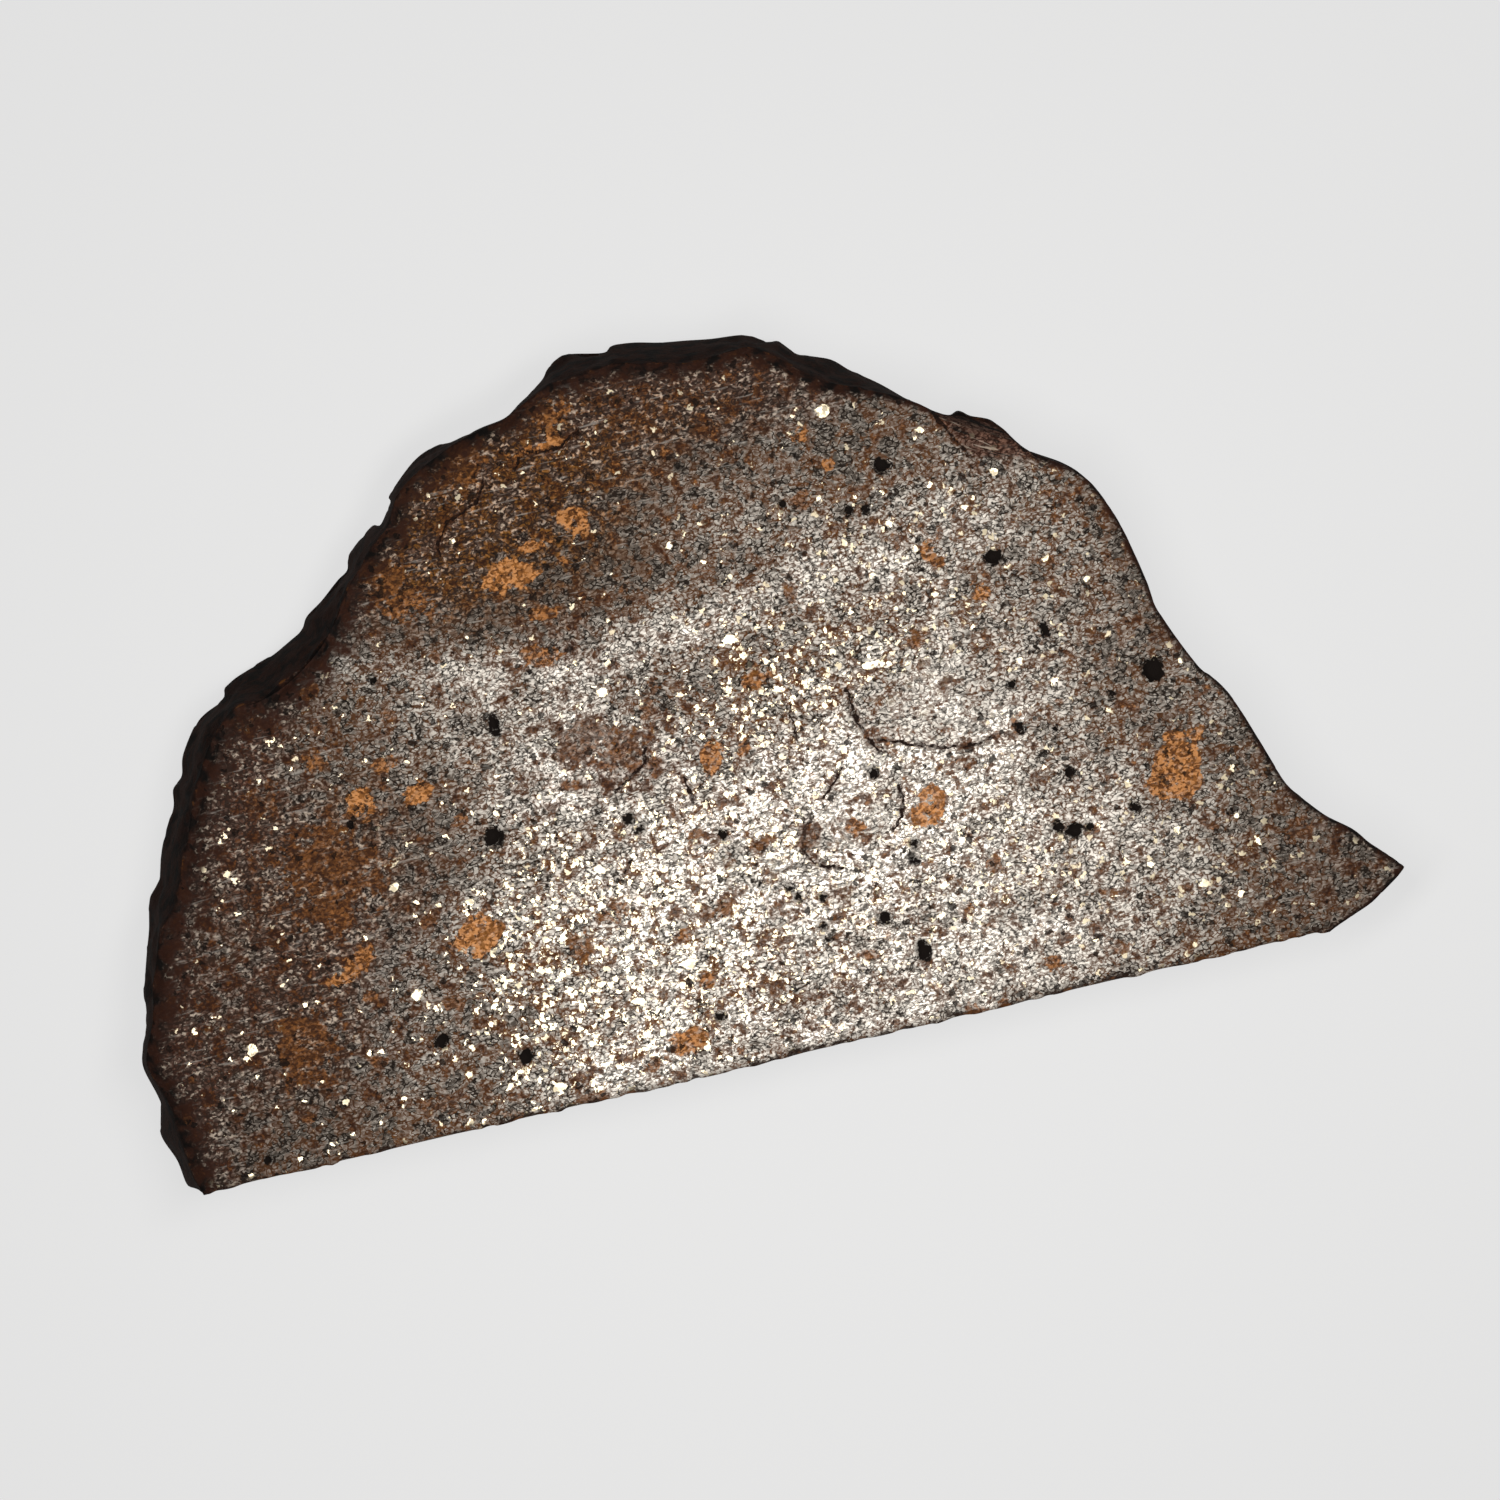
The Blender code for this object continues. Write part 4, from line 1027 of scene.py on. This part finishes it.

    # Pits, plucked grains and cracks are dark, and so is the line along the sawn arris. The near-black
    # of pits and plucked holes is painted shade in those hollows; the crack cores are partly dark
    # filling and partly painted shade in the gap.
    cell = add("cells", warped, look["pluckedCells"])
    dice = add("split", cell.node.outputs["Color"]).node.outputs
    plucked = add("ramp", add("less", add("times", dice["Green"], 0.30), cell), -0.03, 0.06, 0.0, 0.85)
    plucked = add("times", plucked, add("over", dice["Blue"], 0.80))
    hole = add("ramp", add("weigh", ragged, 0.11, field["pit"]), -0.02, 0.09)
    hollow = add("times", add("times", hollow, add("less", 1.0, flecks)), add("times", smooth, 0.8))
    hole = add("most", hole, add("most", plucked, hollow))
    body = add("blend", hole, body, tint["pit"])
    across = add("weigh", add("less", wander, 0.5), 3.0, field["crackAcross"])
    across = add("weigh", ragged, 0.35, add("size", across))
    gape = add("ramp", field["crackDepth"], 0.06, 0.16)
    gape = add("times", gape, add("ramp", grit, 0.36, 0.52, 0.35, 1.0))
    side = add("times", add("ramp", across, 0.5, 2.2, 0.5, 0.0), gape)
    body = add("blend", side, body, tint["crackSide"])
    crack = add("times", add("ramp", across, 0.4, 0.85, 1.0, 0.0), gape)
    body = add("blend", crack, body, tint["crack"])
    line = add("weigh", loose, 0.20, add("weigh", ragged, 0.10, field["sawGap"]))
    line = add("ramp", line, -0.06, 0.12, 0.9, 0.0)
    lineTone = add("blend", add("ramp", cover, 0.45, 0.6), tint["edgeLine"], tint["rustMid"])
    body = add("blend", line, body, lineTone)

    # Rind: near-black, with painted grey sheen in spots, standing for light on its high points.
    rind = add("sum", field["naturalGap"], add("ramp", cover, 0.3, 0.7, -0.35, 0.35))
    rind = add("ramp", rind, -0.05, 0.22, 1.0, 0.0)
    rindSheen = add("ramp", add("weigh", ragged, 0.08, blotch), 0.58, 0.76, 0.0, 0.35)
    body = add("blend", rind, body, add("blend", rindSheen, rindTone, tint["paintedRindSheen"]))

    # Lapped ridges shine: they are part metal, for the metal and troilite that is too fine to draw.
    # Rust, pits and the rind are dull.
    sunk = add("most", hole, crack)
    clean = add("less", 1.0, rind)
    dull = add("most", add("most", rustShare, sunk), add("most", line, chipShare))
    bare = add("times", add("times", flecks, add("less", 1.0, sunk)), clean)
    shine = add("times", add("times", ridge, polishAndGlare), add("times", add("less", 1.0, dull), clean))
    shine = add("times", shine, add("ramp", fine, 0.42, 0.58, 0.85, 1.12))
    shine = add("times", shine, add("ramp", smooth, 0.12, 1.0, 0.8, 1.0))
    metallic = add("most", bare, add("times", shine, look["ridgeMetal"]))
    roughness = add("mix", shine, look["dullRoughness"], look["lappedRoughness"])
    roughness = add("mix", dull, roughness, look["rustRoughness"])
    roughness = add("mix", rind, roughness, look["rindRoughness"])
    roughness = add("mix", bare, roughness, look["metalRoughness"])

    # Relief of a few hundredths of a millimetre, and metal flecks that each lean their own way.
    relief = add("weigh", grit, 0.5, add("times", ridge, 0.55))
    relief = add("weigh", flecks, 0.9, add("times", relief, add("less", 1.0, flecks)))
    relief = add("weigh", add("sum", hole, crack), -3.0, relief)
    crust = add("noise", spot, look["rindScale"], 4.0, 0.7)
    relief = add("weigh", crust, add("times", rind, 1.6), relief)
    bump = add("bump", relief, 1.0, look["bumpDepth"])
    lean = add("times", bare, look["fleckLean"])
    lean = add("scale", add("shift", tilt, (-0.5, -0.5, -0.5)), lean)
    facet = add("unit", add("shift", bump, lean))

    tree.links.new(body, shader.inputs["Base Color"])
    tree.links.new(roughness, shader.inputs["Roughness"])
    tree.links.new(metallic, shader.inputs["Metallic"])
    tree.links.new(facet, shader.inputs["Normal"])
    shader.inputs["IOR"].default_value = 1.5
    shader.inputs["Specular IOR Level"].default_value = 0.2     # porous stone traps most of its gloss
    return material


studio = {
    "floor": "#e3e3e3",
    "floorReach": 3.0,              # metres to each side
    "floorDiffuse": (0.12, 0.12, 0.12, 1.0),        # what it shows of shadows
    "floorGlow": 0.92,
    "sky": (0.13, 0.125, 0.12, 1.0),
    "lowSky": (0.30, 0.29, 0.28, 1.0),      # brighter near the horizon, so that the sides aren't lost
    "skyFade": 0.45,                # sine of the height at which the one has become the other
    "cameraHeight": 600.0,          # long lens from straight above
    "lookHeight": 2.5,              # the scale below is right halfway up the slice
    "sensorWidth": 36.0,
    "pixelsPerMillimetre": 20.0,    # at the photograph's 1500 pixels
    "imageSize": 1500,
    "lookAt": (31.84, 15.4),        # what lies at the middle of the photograph
    "roll": 13.17,                  # the sawn edge rises to the right by this many degrees
    "glare": {
        "at": (32.7, 10.5), "height": 70.0, "size": (46.0, 18.0), "turn": 38.0, "power": 0.0385,
        "tint": "#fffdfa",
    },
}


def makeStudio():
    # A flat pale ground, an even sky and one strip light close above, whose gleam crosses the cut face.
    # The lens is sensor width x distance / width seen.
    scene = bpy.context.scene
    scene.view_settings.view_transform = "Standard"
    world = bpy.data.worlds.new("studioSky")
    world.use_nodes = True
    add = nodesIn(world.node_tree)
    direction = world.node_tree.nodes.new("ShaderNodeTexCoord").outputs["Generated"]
    height = add("parts", direction).node.outputs["Z"]
    sky = add("blend", add("ramp", height, 0.0, studio["skyFade"]), studio["lowSky"], studio["sky"])
    world.node_tree.links.new(sky, world.node_tree.nodes["Background"].inputs["Color"])
    scene.world = world

    mesh = bpy.data.meshes.new("ground")
    reach = studio["floorReach"]
    corners = [(-reach, -reach, 0), (reach, -reach, 0), (reach, reach, 0), (-reach, reach, 0)]
    mesh.from_pydata(corners, [], [(0, 1, 2, 3)])
    ground = bpy.data.objects.new("ground", mesh)
    scene.collection.objects.link(ground)
    paper = bpy.data.materials.new("paleGround")
    paper.use_nodes = True
    shader = paper.node_tree.nodes["Principled BSDF"]
    dull = {"Specular IOR Level": 0.0, "Roughness": 1.0, "Emission Strength": studio["floorGlow"],
            "Base Color": studio["floorDiffuse"], "Emission Color": colour(studio["floor"])}
    for socket, value in dull.items():
        shader.inputs[socket].default_value = value
    mesh.materials.append(paper)
    ground.visible_diffuse = ground.visible_glossy = False

    def onRow(point, height):
        # The slice's millimetres as the frame's metres: (point - middle) x 0.001.
        x, y = (a - b for a, b in zip(point, sliceSize["middle"]))
        return tuple(length * millimetre for length in (x, y, height))

    glare = studio["glare"]
    lamp = bpy.data.lights.new("stripLight", "AREA")
    lamp.shape = "RECTANGLE"
    lamp.size, lamp.size_y = (side * millimetre for side in glare["size"])
    lamp.energy = glare["power"]
    lamp.color = colour(glare["tint"])[:3]
    strip = bpy.data.objects.new("stripLight", lamp)
    strip.location = onRow(glare["at"], glare["height"])
    strip.rotation_euler = (0, 0, math.radians(glare["turn"]))
    strip.visible_camera = False
    scene.collection.objects.link(strip)

    eye = bpy.data.cameras.new("camera")
    eye.sensor_width = studio["sensorWidth"]
    width = studio["imageSize"] / studio["pixelsPerMillimetre"]
    eye.lens = studio["sensorWidth"] * (studio["cameraHeight"] - studio["lookHeight"]) / width
    eye.clip_start = 0.01
    camera = bpy.data.objects.new("camera", eye)
    camera.location = onRow(studio["lookAt"], studio["cameraHeight"])
    camera.rotation_euler = (0, 0, -math.radians(studio["roll"]))
    scene.collection.objects.link(camera)
    scene.camera = camera


print("studio")
makeStudio()
print("slice")
stone = buildSlice()
stone.data.materials.append(weatheredChondrite())
print("triangles", sum(len(face.vertices) - 2 for face in stone.data.polygons))
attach(stone, "root")
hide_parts("slice")
